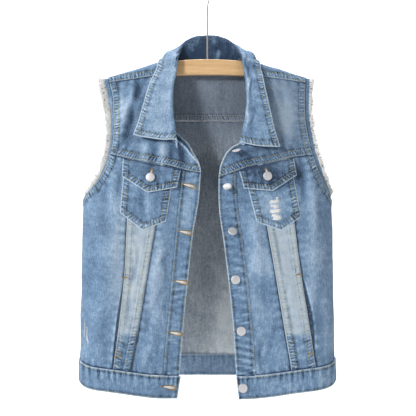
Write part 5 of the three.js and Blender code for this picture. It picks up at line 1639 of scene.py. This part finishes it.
class CollarCut(Cut):
    """The collar's pattern is its own grid, so distances are measured along it."""

    def __init__(self, name, us, vs, edges, seed):
        self.name, self.edges, self.seed = name, edges, seed
        self.us, self.vs, self.thick, self.spans, self.extra = us, vs, DOUBLE_CLOTH, {}, None
        self.fine_u = np.linspace(0, 1, FINE_U + 1)
        self.fine_v = np.linspace(0, 1, FINE_V + 1)
        self.middle = collar_middle(self.fine_u, self.fine_v)
        du = np.gradient(self.middle, axis=0)
        dv = np.gradient(self.middle, axis=1)
        self.normal = unit(np.cross(du, dv))
        self.step_u, self.step_v = (np.linalg.norm(np.diff(self.middle, axis=k), axis=-1) for k in (0, 1))
        self.run_u = np.vstack([np.zeros((1, FINE_V + 1)), np.cumsum(self.step_u, axis=0)])
        self.run_v = np.hstack([np.zeros((FINE_U + 1, 1)), np.cumsum(self.step_v, axis=1)])

    def sample(self, table, at):
        """A value of the fine grid between its points."""
        i = np.clip(at[..., 0], 0, 1) * FINE_U
        j = np.clip(at[..., 1], 0, 1) * FINE_V
        i0, j0 = np.minimum(i.astype(int), FINE_U - 1), np.minimum(j.astype(int), FINE_V - 1)
        f, g = i - i0, j - j0
        if table.ndim == 3:
            f, g = f[..., None], g[..., None]
        low = mix(table[i0, j0], table[i0 + 1, j0], f)
        return mix(low, mix(table[i0, j0 + 1], table[i0 + 1, j0 + 1], f), g)

    def measure(self, at):
        along = self.sample(self.run_u, at)
        across = self.sample(self.run_v, at)
        whole_u = self.sample(self.run_u, pair(1.0, at[..., 1]))
        whole_v = self.sample(self.run_v, pair(at[..., 0], 1.0))
        ones = np.ones_like(along)
        return {
            "north": (whole_v - across, along, ones), "west": (along, across, ones),
            "east": (whole_u - along, across, ones),
        }

    def surface(self, at):
        height, worn, seam, t = super().surface(at)
        along = self.sample(self.run_u, at)
        across = self.sample(self.run_v, at)
        stand = ease((0.42 - at[..., 1]) / 0.1)
        rumple = 0.9 * slow_pucker(along + 0.2 * across, 4.0) * stand + 0.7 * uneven(along, across, 34, 31)
        wave = 0.03 * np.sin(along / 13) + 0.015 * np.sin(along / 5.3 + 1)
        # A ridge and a trough run along the fall of the left front: raised and sunk, and painted lighter and
        # darker.
        left_front = ease((at[..., 0] - 0.66) / 0.06) * ease((0.98 - at[..., 0]) / 0.05)
        ridge = bell(at[..., 1] - 0.57 - wave, 0.035) * left_front
        trough = bell(at[..., 1] - 0.66 - 1.3 * wave, 0.03) * left_front
        height = height + rumple + 1.6 * ridge - 1.6 * trough
        worn = worn + (0.2 + 0.4 * stand) * rumple + 0.5 * ridge - 0.5 * trough
        end = np.minimum(along, self.sample(self.run_u, pair(1.0, at[..., 1])) - along)
        return height, worn + 2.2 * bell(end - 0.5, 1.8) * stand, seam, t

    def place(self, at, lift):
        return self.sample(self.middle, at) + self.sample(self.normal, at) * lift[..., None]

    def outer(self, at, above=0.0):
        return self.place(at, self.thick / 2 + self.surface(at)[0] + above)

    def build(self):
        at = pair(*np.meshgrid(self.us, self.vs, indexing="ij"))
        height, worn, seam, t = self.surface(at)
        outer = self.place(at, self.thick / 2 + height)
        inner = self.place(at, -self.thick / 2 + np.clip(height, -0.6, 0.6) * 0.6)
        piece = shell(self.name, outer, inner)
        one_sided(piece)
        x, z = outer[..., 0], outer[..., 2]
        front = outer[..., 1] < 0
        low = self.sample(self.run_v, at)
        fall = ease((at[..., 1] - 0.5) / 0.1)
        # The fall is paler on the fronts, most on the wearer's right, and the whole stand gets painted shade.
        fade = fall * front * np.where(x < 0, 0.42, 0.12) + 0.1 * uneven(x, z, 30, 41) - 0.3 * (1 - fall)
        fade = fade + 0.2 * bell(low - self.sample(self.run_v, pair(at[..., 0], 0.5)), 7)
        # More painted shade on the stand behind the neck, darkest at its foot by the hanger bar; a pale patch
        # lies on its right half.
        behind = ease((z + 190) / 40) * (1 - fall)
        shaded = (-1.0 * bell(low, 26) - 0.55) * behind
        fade = fade + shaded + 0.6 * bell(x - 24, 13) * bell(low - 27, 9) * behind
        give_values(
            piece, worn=[worn, 0.6 * worn], fade=[fade, fade], grey=[fade * 0, fade * 0],
            seam=[seam, seam], along=[t, t],
        )
        length = self.run_u[-1].mean()
        width = self.run_v[:, -1].max()
        self.flat = np.array([length * 1.04, width * 1.02]) * MM
        self.area = (self.step_u[:, :-1] * self.step_v[:-1]).sum() * MM**2
        self.piece = piece
        print(f"{self.name}: {len(piece.data.polygons)} faces")
        return piece

    def row(self, edge, inset):
        if edge == "north":
            v = [np.interp(run[-1] - inset, run, self.fine_v) for run in self.run_v]
            line = pair(self.fine_u, np.array(v))
        else:
            v = self.fine_v[FOLD_ROW:]
            runs = self.run_u[:, FOLD_ROW:].T
            ends = [inset if edge == "west" else run[-1] - inset for run in runs]
            line = pair(np.array([np.interp(end, run, self.fine_u) for end, run in zip(ends, runs)]), v)
        space = self.sample(self.middle, line)
        run = np.concatenate([[0], np.cumsum(np.linalg.norm(np.diff(space, axis=0), axis=1))])
        stops = np.linspace(0, run[-1], max(2, int(run[-1] / STITCH_LENGTH)) + 1)
        return pair(np.interp(stops, run, line[:, 0]), np.interp(stops, run, line[:, 1]))


edges = dict.fromkeys(("north", "west", "east"), "double")
us, vs = spaced(620, step=2.6), spaced(105, start=False, step=2.2)
keep(CollarCut("collar_cloth", us, vs, edges, seed=10.4), "collar")

# %% [markdown]
# The sleeves were cut off and the edge left raw. What is left of each sleeve is a narrow band beyond the
# armhole seam. It leans into the armhole, so it follows the ring of the panels' edges with its own
# directions: into the opening and out from the cloth.

# %% Armhole bands
def armhole_ring(hand):
    """Points round the armhole seam with the direction into the opening and the way the band faces."""
    fine = np.linspace(0, 1, 200)
    side_cut, yoke_cut = cuts[f"front_side_{hand}"], cuts[f"front_yoke_{hand}"]
    back_yoke, panel = cuts["back_yoke"], cuts["back_panel"]
    start = side_cut.spans["east"][0][0]
    edge = 0.0 if hand == "right" else 1.0
    low = (UNDERARM - panel.lines["east"][0][1]) / Route(panel.lines["east"]).total
    stretches = [
        (side_cut, side_cut.pattern(1.0, mix(start, 1, fine))), (yoke_cut, yoke_cut.pattern(1.0, fine)),
        (back_yoke, back_yoke.pattern(edge, fine[::-1])), (panel, panel.pattern(edge, mix(1, low, fine))),
    ]
    seam = np.concatenate([cut.space(at[:, 0], at[:, 1], np.zeros(len(at))) for cut, at in stretches])
    ahead = np.concatenate([cut.space(at[:, 0], at[:, 1], np.ones(len(at))) for cut, at in stretches])
    facing = unit(ahead - seam)
    run = np.concatenate([[0], np.cumsum(np.linalg.norm(np.diff(seam, axis=0), axis=1))])
    count = int(run[-1] / 2.6)
    stops = np.arange(count) / count * run[-1]
    ring = np.stack([np.interp(stops, run, seam[:, k]) for k in range(3)], axis=1)
    facing = np.stack([np.interp(stops, run, facing[:, k]) for k in range(3)], axis=1)
    for _ in range(10):
        facing = (np.roll(facing, 1, axis=0) + 2 * facing + np.roll(facing, -1, axis=0)) / 4
        ring = (np.roll(ring, 1, axis=0) + 6 * ring + np.roll(ring, -1, axis=0)) / 8
    along = unit(np.roll(ring, -1, axis=0) - np.roll(ring, 1, axis=0))
    facing = unit(facing - along * (facing * along).sum(axis=1, keepdims=True))
    across = np.cross(along, facing)
    lean = np.radians(BAND_LEAN[hand]) * ease((-225 - ring[:, 2]) / 40) * np.where(facing[:, 1] > 0, 0.5, 1)
    lean = lean[:, None]
    if ((ring.mean(axis=0) - ring) * across).sum() < 0:
        across = -across
    into = across * np.cos(lean) - facing * np.sin(lean)
    out = facing * np.cos(lean) + across * np.sin(lean)
    return ring, into, out, run[-1]


rings = {hand: armhole_ring(hand) for hand in SIDE}


BAND_CREASES = (0.9, 1.7, 2.6, 3.9, 4.6, 5.6)  # radians round the armhole


def build_band(hand):
    ring, into, out, length = rings[hand]
    reach = np.array([SEAM_GAP, 0.8, 1.6, 2.8, 4.2, 5.6, 7.0, 8.2, 9.2, BAND_WIDTH])
    t = np.arange(len(ring)) / len(ring) * length
    t, r = np.meshgrid(t, reach, indexing="ij")
    turn = 2 * math.pi * t / length
    crease = sum(0.7 * bell(np.sin((turn - a) / 2) * length / math.pi, 3.5) for a in BAND_CREASES)
    height = 0.3 * np.sin(turn * 37 + 1.5 * np.sin(turn * 5)) * ease((BAND_WIDTH - r) / 4) + crease - 0.3
    height = height + 0.35 * np.sin(turn * 23) * ease(r / BAND_WIDTH)
    base = ring[:, None] + into[:, None] * r[..., None]
    outer = base + out[:, None] * (CLOTH + height)[..., None]
    inner = base + out[:, None] * (height * 0.8)[..., None]
    piece = shell(f"armhole_band_{hand}_cloth", outer, inner, ring=True)
    # Painted shade along the armhole seam; paler frayed outer edge; creases a little paler, partly wear,
    # partly painted light.
    worn = -0.9 * bell(r, 1.6) + 0.7 * bell(r - BAND_WIDTH, 1.6) + 0.25 * crease
    fade, grey = wash_and_painted_shade(outer[..., 0], outer[..., 2], -1)
    give_values(piece, worn=[worn, worn], fade=[fade, fade], grey=[grey * 0, grey * 0])
    put_in(piece, f"armhole_band_{hand}", "denim", denim, denim_reverse)
    print(f"armhole {hand}: {length:.0f} mm round")


for hand in SIDE:
    build_band(hand)

# %% [markdown]
# Beyond the cut the blue warp has fallen out and the white weft stands free. It is a soft mat of short
# threads with longer wisps, with dark patches of painted shade for the shadows between them. Each thread
# is a thin curled prism, and one mesh holds them all, because a particle system would not survive outside
# Blender.

# %% Frayed edges
def thread_mesh(name, path, radius):
    """Thin three-sided threads along paths (threads, points, xyz), tapered to their ends."""
    count, knots = path.shape[:2]
    run = unit(np.gradient(path, axis=1))
    aside = unit(np.cross(run, np.array([0.31, 0.87, 0.38])))
    other = np.cross(run, aside)
    taper = np.linspace(1.0, 0.35, knots)[None, :, None]
    wide = np.asarray(radius, float).reshape(-1, 1, 1) * taper
    rings = []
    for k in range(3):
        a = 2 * math.pi * k / 3
        rings.append(path + (aside * math.cos(a) + other * math.sin(a)) * wide)
    verts = np.stack(rings, axis=2).reshape(-1, 3)
    ids = np.arange(count * knots * 3).reshape(count, knots, 3)
    nxt = np.roll(ids, -1, axis=2)
    quads = np.stack([ids[:, :-1], nxt[:, :-1], nxt[:, 1:], ids[:, 1:]], axis=-1).reshape(-1, 4)
    tris = np.concatenate([ids[:, 0, ::-1], ids[:, -1]])
    return build_mesh(name, verts, quads, tris)


FRAY_SPREAD = {"right": 1.4, "left": 0.5}  # how far the threads turn outward
FRAY_SEED = {"right": 17, "left": 29}
FRAY_COUNT = 4600
FRAY_TAIL = {"right": 11.0, "left": 0.0}  # extra length at the shoulder


def build_fringe(hand):
    ring, into, out, _ = rings[hand]
    chance = np.random.default_rng(FRAY_SEED[hand])
    count = FRAY_COUNT
    where = chance.uniform(0, len(ring), count)
    i = where.astype(int) % len(ring)
    j = (i + 1) % len(ring)
    f = (where % 1)[:, None]
    root, inward, outward = (mix(a[i], a[j], f) for a in (ring, into, out))
    along = unit(ring[j] - ring[i])
    thick_tuft = 1 + 0.5 * np.sin(where * 0.41) + 0.35 * np.sin(where * 1.13)
    top = 1.3 + 0.5 * ease((root[:, 2] + 290) / 60) * (hand == "right")
    tail = FRAY_TAIL[hand] * ease((root[:, 2] + 297) / 25) * ease((14 - root[:, 1]) / 24)
    reach = np.clip(chance.gamma(3.0, 1.35, count) * thick_tuft * top, 1.5, 13.5)
    reach = reach + tail * chance.uniform(0.3, 1.0, count)
    curl = chance.normal(0, 0.55, count)
    lift = chance.normal(0, 0.5, count)
    start = root + inward * chance.uniform(BAND_WIDTH - 2.6, BAND_WIDTH + 1.0, count)[:, None]
    start = start + outward * chance.uniform(0.4, CLOTH + 0.9, count)[:, None]
    t = np.linspace(0, 1, 4)[None, :, None]
    spread = mix(0.15, FRAY_SPREAD[hand], ease((-225 - root[:, 2:]) / 40))
    aim = unit(inward + outward * spread)
    path = start[:, None] + aim[:, None] * reach[:, None, None] * t
    path = path + along[:, None] * (curl * reach)[:, None, None] * t**1.6
    path = path + outward[:, None] * (lift * reach * 0.5)[:, None, None] * t**2
    matted = count // 3
    spans = chance.uniform(3, 7, matted)[:, None, None]
    path[:matted] = start[:matted, None] + along[:matted, None] * (t - 0.5) * spans
    depth = chance.uniform(0.2, 5.0, matted) + 0.8 * tail[:matted] * chance.uniform(0, 1, matted)
    path[:matted] += aim[:matted, None] * (depth[:, None, None] + 0.6 * np.sin(4 * t))
    piece = thread_mesh(f"armhole_fringe_{hand}_threads", path, chance.uniform(0.26, 0.46, count))
    put_in(piece, f"armhole_fringe_{hand}", "frayed_thread", fringe_thread)
    print(f"fringe {hand}: {count} threads")


for hand in SIDE:
    build_fringe(hand)

# %% [markdown]
# Topstitching is what the eye reads as denim. Each stitch is a small raised lozenge that sinks into the cloth
# at both ends. The rows keep their distance from the edges they hold, and one mesh holds a whole piece's
# stitches.

# %% Topstitching
STITCH_GAP = 0.14  # share of a stitch's length left bare at each end


def stitch_mesh(name, start, end, up, wide=0.58, rise=0.42):
    """Raised stitches between pairs of points, each of two tips and two rings of four points."""
    run = unit(end - start)
    aside = unit(np.cross(run, up))
    rings = []
    for share, size, high in ((0.0, 0.0, -0.25), (0.24, 1.0, rise), (0.76, 1.0, rise), (1.0, 0.0, -0.25)):
        middle = mix(start, end, share) + up * high
        if size == 0:
            rings.append(middle[:, None])
            continue
        over, beside = up * wide * 0.8, aside * wide
        rings.append(np.stack([middle + beside, middle + over, middle - beside, middle - over], axis=1))
    verts = np.concatenate(rings, axis=1)
    base = (np.arange(len(start)) * 10)[:, None]
    tris, quads = [], []
    for k in range(4):
        n = (k + 1) % 4
        tris.append(base + np.array([0, 1 + k, 1 + n]))
        tris.append(base + np.array([9, 5 + n, 5 + k]))
        quads.append(base + np.array([1 + k, 5 + k, 5 + n, 1 + n]))
    return build_mesh(name, verts.reshape(-1, 3), np.concatenate(quads), np.concatenate(tris))


def sew(name, runs, material):
    """One mesh for several rows, each given as points along it and the way out of the cloth there."""
    start = np.concatenate([mix(p[:-1], p[1:], STITCH_GAP) for p, _ in runs])
    end = np.concatenate([mix(p[:-1], p[1:], 1 - STITCH_GAP) for p, _ in runs])
    up = np.concatenate([unit(n[:-1] + n[1:]) for _, n in runs])
    near = np.linalg.norm(end - start, axis=1) < 6
    piece = stitch_mesh(name, start[near], end[near], up[near])
    piece.data.materials.append(material)
    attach(piece, "root")


def broken(at, keep_point):
    """The unbroken stretches of a row whose points are kept."""
    stretches, run = [], []
    for place, kept in zip(at, keep_point):
        if kept:
            run.append(place)
            continue
        if len(run) > 1:
            stretches.append(np.array(run))
        run = []
    if len(run) > 1:
        stretches.append(np.array(run))
    return stretches


def rows_of(cut, inside=False):
    runs = []
    for edge, finish in cut.edges.items():
        for inset in ROWS[finish]:
            at = cut.row(edge, inset)
            far = cut.measure(at)
            kept = far[edge][2] > 0.5
            for other, (d, _, _) in far.items():
                least = 1.4 if cut.edges[other] in ("folded", "double") else 0.5
                kept &= d > (inset * 0.75 if other == edge else least)
            face = cut.inner if inside else cut.outer
            for stretch in broken(at, kept):
                here = face(stretch)
                runs.append((here, unit(face(stretch, above=1.0) - here)))
    return runs


stitched = 0
for node, cut in cuts.items():
    runs = rows_of(cut)
    if runs:
        sew(f"topstitching_{node}", runs, tan_thread)
        stitched += sum(len(p) - 1 for p, _ in runs)
for node in ("back_yoke", "back_panel", "waistband"):
    sew(f"inside_stitching_{node}", rows_of(cuts[node], inside=True), pale_thread)
print(stitched, "stitches on the outside")

# %% [markdown]
# The cut size of each piece is the extent of its pattern, and this cell reads it for every piece.

# %% Cut sizes
for node, cut in cuts.items():
    width, length = (float(v) for v in cut.flat)
print(len(cuts), "cut pieces declared")

# %% [markdown]
# Buttonholes are worked in gold thread round a short slit: many small stitches side by side. Bar tacks hold
# the ends of the hand pockets in the same way.

# %% Buttonholes and bar tacks
BUTTONHOLES = [(33.5, -406), (40, -490), (47, -578), (57, -668.5), (68, -763)]
HOLE_HALF = 14.0
HOLE_TILT = -0.2
FLAP_HOLES = {"right": (102.0, -389.0), "left": (107.6, -387.5)}
BAR_TACKS = {"right": [(146.0, -570.5), (159.5, -709.0)], "left": [(163.0, -565.5), (181.0, -703.7)]}


def front_place(side, x, z, lift):
    here = on_front(side)(x, z, lift)
    return here, unit(on_front(side)(x, z, lift + 1) - here)


def worked_ring(side, x, z, half, tilt, lift, broad):
    """Stitches side by side round a slit that is wider at its eye: where they start and end, and up."""
    count = 96
    turn = np.linspace(0, 2 * math.pi, count, endpoint=False)
    ux, uz = math.cos(tilt), math.sin(tilt)
    eye = mix(0.35, 1.1, ease((np.cos(turn) + 1) / 1.6))
    spots = []
    for grow, reach in ((0.3, half - 1.6), (1.0, half)):
        across = np.sign(np.sin(turn)) * np.abs(np.sin(turn)) ** 0.7 * broad * eye * grow
        along = np.cos(turn) * reach
        spots.append((x + along * ux - across * uz, z + along * uz + across * ux))
    (x0, z0), (x1, z1) = spots
    a, up = front_place(side, x0, z0, np.full(count, lift + 0.35))
    b, _ = front_place(side, x1, z1, np.full(count, lift))
    return a, b, up


worked = []  # starts, ends and the way up
holes = [(-1.0, x, z, HOLE_HALF, math.pi - HOLE_TILT, DOUBLE_CLOTH, 4.8) for x, z in BUTTONHOLES]
holes[-1] = (*holes[-1][:5], BAND_CLOTH, 4.8)
holes += [
    (SIDE[hand], x, z, 13.0, math.radians(104), FLAP_LIFT + CLOTH, 2.8) for hand, (x, z) in FLAP_HOLES.items()
]
for side, x, z, half, tilt, lift, broad in holes:
    worked.append(worked_ring(side, x, z, half, tilt, lift + 0.25, broad))
on_fell = CLOTH + FELL_RAISE
for hand, tacks in BAR_TACKS.items():
    for x, z in tacks:
        t = np.linspace(-4.2, 4.2, 18)
        a, up = front_place(SIDE[hand], x + t, z + 1.3 + 0 * t, np.full(18, on_fell + 0.1))
        b, _ = front_place(SIDE[hand], x + t + 0.4, z - 1.3 + 0 * t, np.full(18, on_fell + 0.1))
        worked.append((a, b, up))
        for inset in (1.8, 9.6):
            up_to = z + np.arange(-2, 8) * 2.6
            place = LINES[hand]["strip_out"](up_to) - inset
            line, up = front_place(SIDE[hand], place, up_to, np.full(10, on_fell + 0.35))
            worked.append((mix(line[:-1], line[1:], 0.06), mix(line[:-1], line[1:], 0.94), up[:-1]))
starts, ends, ups = (np.concatenate(part) for part in zip(*worked))
gold = stitch_mesh("buttonholes_and_bar_tacks", starts, ends, ups, 0.4, 0.3)
gold.data.materials.append(gold_thread)
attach(gold, "root")

slit_path = []
for side, x, z, half, tilt, lift, broad in holes:
    for shift in (-2.3, -1.9, -1.4, -1.0, -0.5, 0.6, 1.0, 1.5, 1.9, 2.4):
        t = np.linspace(-0.5 + 0.12 * math.sin(9 * shift), 0.86 - 0.1 * abs(shift), 12) * half
        eye = mix(0.15, 1.0, ease((t / half + 0.7) / 1.5)) * broad / 4
        off = shift * eye + 0.5 * np.sin(t * 1.3 + 3 * shift) * eye
        px = x + t * math.cos(tilt) - off * math.sin(tilt)
        pz = z + t * math.sin(tilt) + off * math.cos(tilt)
        here, _ = front_place(side, px, pz, np.full(12, lift + 0.75))
        slit_path.append(here)
slits = thread_mesh("buttonhole_slits", np.array(slit_path), np.full(len(slit_path), 0.5))
slits.data.materials.append(white_thread)
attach(slits, "root")
print(len(holes), "buttonholes")

# %% [markdown]
# Someone rubbed this vest on purpose: a patch on the left pocket, worn down to its white weft, and a few
# scratches by the right side seam. The bared threads are real threads laid across the damage.

# %% Rubbed patches
RUBS = [  # distance, height, half width, half height, threads
    (121.0, -436.0, 8.5, 2.4, 26), (125.5, -430.0, 2.4, 3.0, 12), (119.0, -442.5, 6.0, 2.2, 22),
    (124.0, -445.5, 5.0, 2.2, 18), (122.0, -453.0, 9.5, 3.2, 38), (120.5, -460.0, 6.0, 2.0, 18),
    (125.5, -464.5, 8.5, 3.4, 38),
]
SCRATCHES = [(219.5, -664.0, 17.0, 0.04), (211.8, -673.0, 16.0, 0.14)]


def build_rubs():
    chance = np.random.default_rng(5)
    paths = []
    for x, z, wide, tall, count in RUBS:
        for _ in range(count):
            h = z + chance.uniform(-tall, tall)
            reach = wide * chance.uniform(0.5, 1.1)
            t = np.linspace(-reach, reach, 6)
            bow = chance.normal(0, 0.5) * (1 - (t / reach) ** 2) + 0.12 * t
            lift = POCKET_LIFT + CLOTH + 0.2 + 0.4 * (1 - (t / reach) ** 2) * chance.uniform(0.3, 1)
            paths.append(front_place(SIDE["left"], x + t, h + bow, lift)[0])
    for w, z, tall, slant in SCRATCHES:
        for h in np.arange(z - tall, z + tall, 0.6):
            reach = chance.uniform(0.9, 1.7) * (1 - ((h - z) / tall) ** 4)
            t = np.linspace(-reach, reach, 6)
            away = w + slant * (h - z) + 0.4 * math.sin(h / 4)
            paths.append(front_place(SIDE["right"], away + t, h + 0.2 * t, np.full(6, CLOTH + 0.25))[0])
    piece = thread_mesh("bared_weft", np.array(paths), chance.uniform(0.3, 0.46, len(paths)))
    piece.data.materials.append(white_thread)
    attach(piece, "root")
    print(len(paths), "bared threads")


build_rubs()

# %% [markdown]
# Shank buttons are turned metal: a short post, a rolled rim and a slightly domed face. A turned profile
# makes them, and each sits on the cloth where the CAD button is. The top three tip back, because the cloth
# turns away there.

# %% Buttons
BUTTON_RADIUS = 8.5
BUTTON_HEIGHT = 4.4
BUTTON_GAP = 0.5
PLACKET_BUTTONS = [(52, -345), (35.5, -410), (44.5, -489), (50, -574), (59.8, -664), (62.5, -763)]
FLAP_BUTTONS = {"right": (101.8, -393), "left": (107.8, -391)}
BUTTON_SCALE = 0.96
BUTTON_TILT = {"button_1": (73, 14), "button_2": (44, 10), "button_3": (32, -14)}  # degrees back and aside
PROFILE = [  # radius, height
    (0.01, 0.0), (3.3, 0.0), (3.3, 1.1), (4.2, 1.45), (7.6, 1.6), (8.2, 1.9), (8.5, 2.5), (8.4, 3.1),
    (8.0, 3.6), (7.4, 3.9), (6.4, 4.05), (4.8, 4.2), (2.4, 4.35), (0.01, 4.4),
]


def turned_button(name, foot, up):
    around = 40
    turn = np.arange(around) / around * 2 * math.pi
    aside = unit(np.cross(up, (0.0, 0.0, 1.0)))
    other = np.cross(up, aside)
    rim = np.cos(turn)[:, None] * aside + np.sin(turn)[:, None] * other
    rings = np.stack([foot + up * h + rim * r * BUTTON_SCALE for r, h in PROFILE])
    return build_mesh(name, rings.reshape(-1, 3), tube_faces(rings)[1])


def tilted(up, back, aside):
    """The way a button faces when it is tipped up and towards the centre front."""
    back, aside = math.radians(back), math.radians(aside)
    turned = up * math.cos(back) + np.array([-math.sin(aside), 0, math.cos(aside)]) * math.sin(back)
    return unit(turned)


def build_buttons():
    made = []
    for number, (x, z) in enumerate(PLACKET_BUTTONS, start=1):
        under = {1: CLOTH, len(PLACKET_BUTTONS): BAND_CLOTH}.get(number, DOUBLE_CLOTH)
        made.append((f"button_{number}", 1.0, x, z, under + BUTTON_GAP))
    for hand, (x, z) in FLAP_BUTTONS.items():
        made.append((f"pocket_button_{hand}", SIDE[hand], x, z, FLAP_LIFT + CLOTH + BUTTON_GAP))
    for node, side, x, z, lift in made:
        foot, up = front_place(side, np.array([float(x)]), np.array([float(z)]), np.array([lift]))
        back, aside = BUTTON_TILT.get(node, (0, 0))
        facing = tilted(up[0], back, aside) if back else up[0]
        clear = 0.75 * BUTTON_RADIUS * math.sin(math.radians(back))
        middle = foot[0] + up[0] * (BUTTON_HEIGHT / 2 + clear)
        piece = turned_button(f"{node}_metal", middle - facing * BUTTON_HEIGHT / 2, facing)
        put_in(piece, node, "button_metal", nickel)
    print(len(made), "buttons")


build_buttons()

# %% [markdown]
# The hanger is a flat bar of light beech, its edges rounded over, with a wire hook let into its top. The
# bar's top follows the shoulders and dips a little in the middle.

# %% Hanger
BAR_TOP = -165.0
BAR_HEIGHT = 30.0
BAR_TIP_HEIGHT = 20.0
BAR_THICKNESS = 12.0
BAR_HALF_LENGTH = 196.0
BAR_CLEARANCE = 2.0
WIRE = 3.0
HOOK_RADIUS = 22.0


def bar_top(x):
    middle = BAR_TOP - 8 * (np.abs(x) / 100) ** 2
    return mix(middle, shoulder_top(x) - BAR_CLEARANCE, ease((np.abs(x) - 55) / 50))


def build_bar():
    x = np.linspace(-BAR_HALF_LENGTH, BAR_HALF_LENGTH, 181)
    tip = np.clip((BAR_HALF_LENGTH - np.abs(x)) / 5, 0, 1)
    rounding = np.sqrt(1 - (1 - tip) ** 2)
    tall = mix(BAR_HEIGHT, BAR_TIP_HEIGHT, (np.abs(x) / BAR_HALF_LENGTH) ** 1.5)
    middle = bar_top(x) - tall / 2
    half_tall = tall / 2 * mix(0.72, 1.0, rounding)
    half_wide = BAR_THICKNESS / 2 * mix(0.55, 1.0, rounding)
    radius = np.minimum(3.0, half_wide * 0.8)
    rim = []
    for cy, cz, start in ((1, 1, 0), (-1, 1, 1), (-1, -1, 2), (1, -1, 3)):
        for k in range(6):
            a = (start + k / 5) * math.pi / 2
            y = cy * (half_wide - radius) + radius * math.cos(a)
            z = middle + cz * (half_tall - radius) + radius * math.sin(a)
            rim.append(points(x, y, z))
    rings = np.stack(rim, axis=1)
    ids, quads = tube_faces(rings)
    ends = []
    for row, order in ((ids[0], 1), (ids[-1], -1)):
        for k in range(1, 23):
            ends.append((row[0], row[k + 1], row[k])[::order])
    piece = build_mesh("hanger_bar_wood", rings.reshape(-1, 3), quads, ends)
    put_in(piece, "hanger_bar", "hanger_wood", beech)


def build_hook():
    radius = HOOK_RADIUS + WIRE / 2
    middle = WIRE / 2 - radius
    foot = float(bar_top(np.array(0.0))) + SEAM_GAP
    knots = [(0, 0, foot + step) for step in (0, 30, 60, 90)]
    knots += [(1.5, 0, middle - radius - 12), (8, 0, middle - radius + 2)]
    for degrees in range(-45, 206, 20):
        a = math.radians(degrees)
        knots.append((radius * math.cos(a), 0, middle + radius * math.sin(a)))
    path = through(np.array(knots, float)[None], np.linspace(0, 1, 160))[0]
    run = unit(np.gradient(path, axis=0))
    aside = np.array([0.0, 1.0, 0.0])
    other = np.cross(run, aside)
    turn = np.arange(12) / 12 * 2 * math.pi
    size = np.full(len(path), WIRE / 2)
    size[-1] = 0.6
    rings = path[:, None] + size[:, None, None] * (
        np.cos(turn)[None, :, None] * aside + np.sin(turn)[None, :, None] * other[:, None]
    )
    ids, quads = tube_faces(rings)
    ends = [(ids[-1][0], ids[-1][k], ids[-1][k + 1]) for k in range(1, 11)]
    piece = build_mesh("hanger_hook_wire", rings.reshape(-1, 3), quads, ends)
    put_in(piece, "hanger_hook", "hook_wire", wire_steel)
    print("hook:", len(knots), "knots")


build_bar()
build_hook()

# %% [markdown]
# The photograph is a plain white studio picture, so the stage is a pale floor that sweeps up behind the vest.
# A soft key light stands to the upper left of the camera, a wide weak fill keeps the shadows open, and a
# third light whitens the backdrop.

# %% Stage, light and camera
FLOOR = -1150.0
BEND = 800.0
LIGHTS = [  # name, place, aim, size and power
    ("key_light", (-1.35, -1.2, 0.35), (0, 0, -0.45), 0.4, 30),
    ("fill_light", (1.4, -1.6, -0.5), (0, 0, -0.5), 1.2, 9),
    ("backdrop_light", (0, 0.7, 1.2), (0, 2.0, -0.6), 1.6, 70),
]
CAMERA_PLACE = (0.00115, -1.3, -0.447)
FRAME_WIDTH = 0.7904


def build_stage():
    profile = [(-3000.0, FLOOR)]
    for a in np.linspace(0, math.pi / 2, 13):
        profile.append((1200 + BEND * math.sin(a), FLOOR + BEND * (1 - math.cos(a))))
    profile.append((2000.0, 3000.0))
    verts = [(x, y, z) for y, z in profile for x in (-4000.0, 4000.0)]
    quads = [(2 * k, 2 * k + 1, 2 * k + 3, 2 * k + 2) for k in range(len(profile) - 1)]
    sweep = build_mesh("studio_sweep", verts, quads)
    material, _, into = new_material("White paper", 0.9)
    into["Base Color"].default_value = (0.92, 0.92, 0.92, 1)
    sweep.data.materials.append(material)


def soft_light(name, place, aim, size, power):
    lamp = bpy.data.lights.new(name, "AREA")
    lamp.shape = "DISK"
    lamp.size = size
    lamp.energy = power
    lit = bpy.data.objects.new(name, lamp)
    lit.location = place
    lit.rotation_euler = (Vector(aim) - Vector(place)).to_track_quat("-Z", "Y").to_euler()
    bpy.context.scene.collection.objects.link(lit)


build_stage()
for light in LIGHTS:
    soft_light(*light)
world = bpy.data.worlds.new("Studio")
bpy.context.scene.world = world
world.use_nodes = True
sky = world.node_tree.nodes["Background"].inputs
sky["Color"].default_value = (1, 1, 1, 1)
sky["Strength"].default_value = 0.24
bpy.context.scene.view_settings.view_transform = "Standard"

lens = bpy.data.cameras.new("photo_camera")
lens.sensor_width = 36.0
lens.lens = lens.sensor_width * -CAMERA_PLACE[1] / FRAME_WIDTH
camera = bpy.data.objects.new("photo_camera", lens)
camera.location = CAMERA_PLACE
camera.rotation_euler = (math.pi / 2, 0, 0)
bpy.context.scene.collection.objects.link(camera)
bpy.context.scene.camera = camera

# %% Finish
triangles = sum(
    len(face.vertices) - 2 for o in bpy.context.scene.objects
    if o.type == "MESH" and not o.hide_render for face in o.data.polygons
)
print("triangles shown:", triangles)
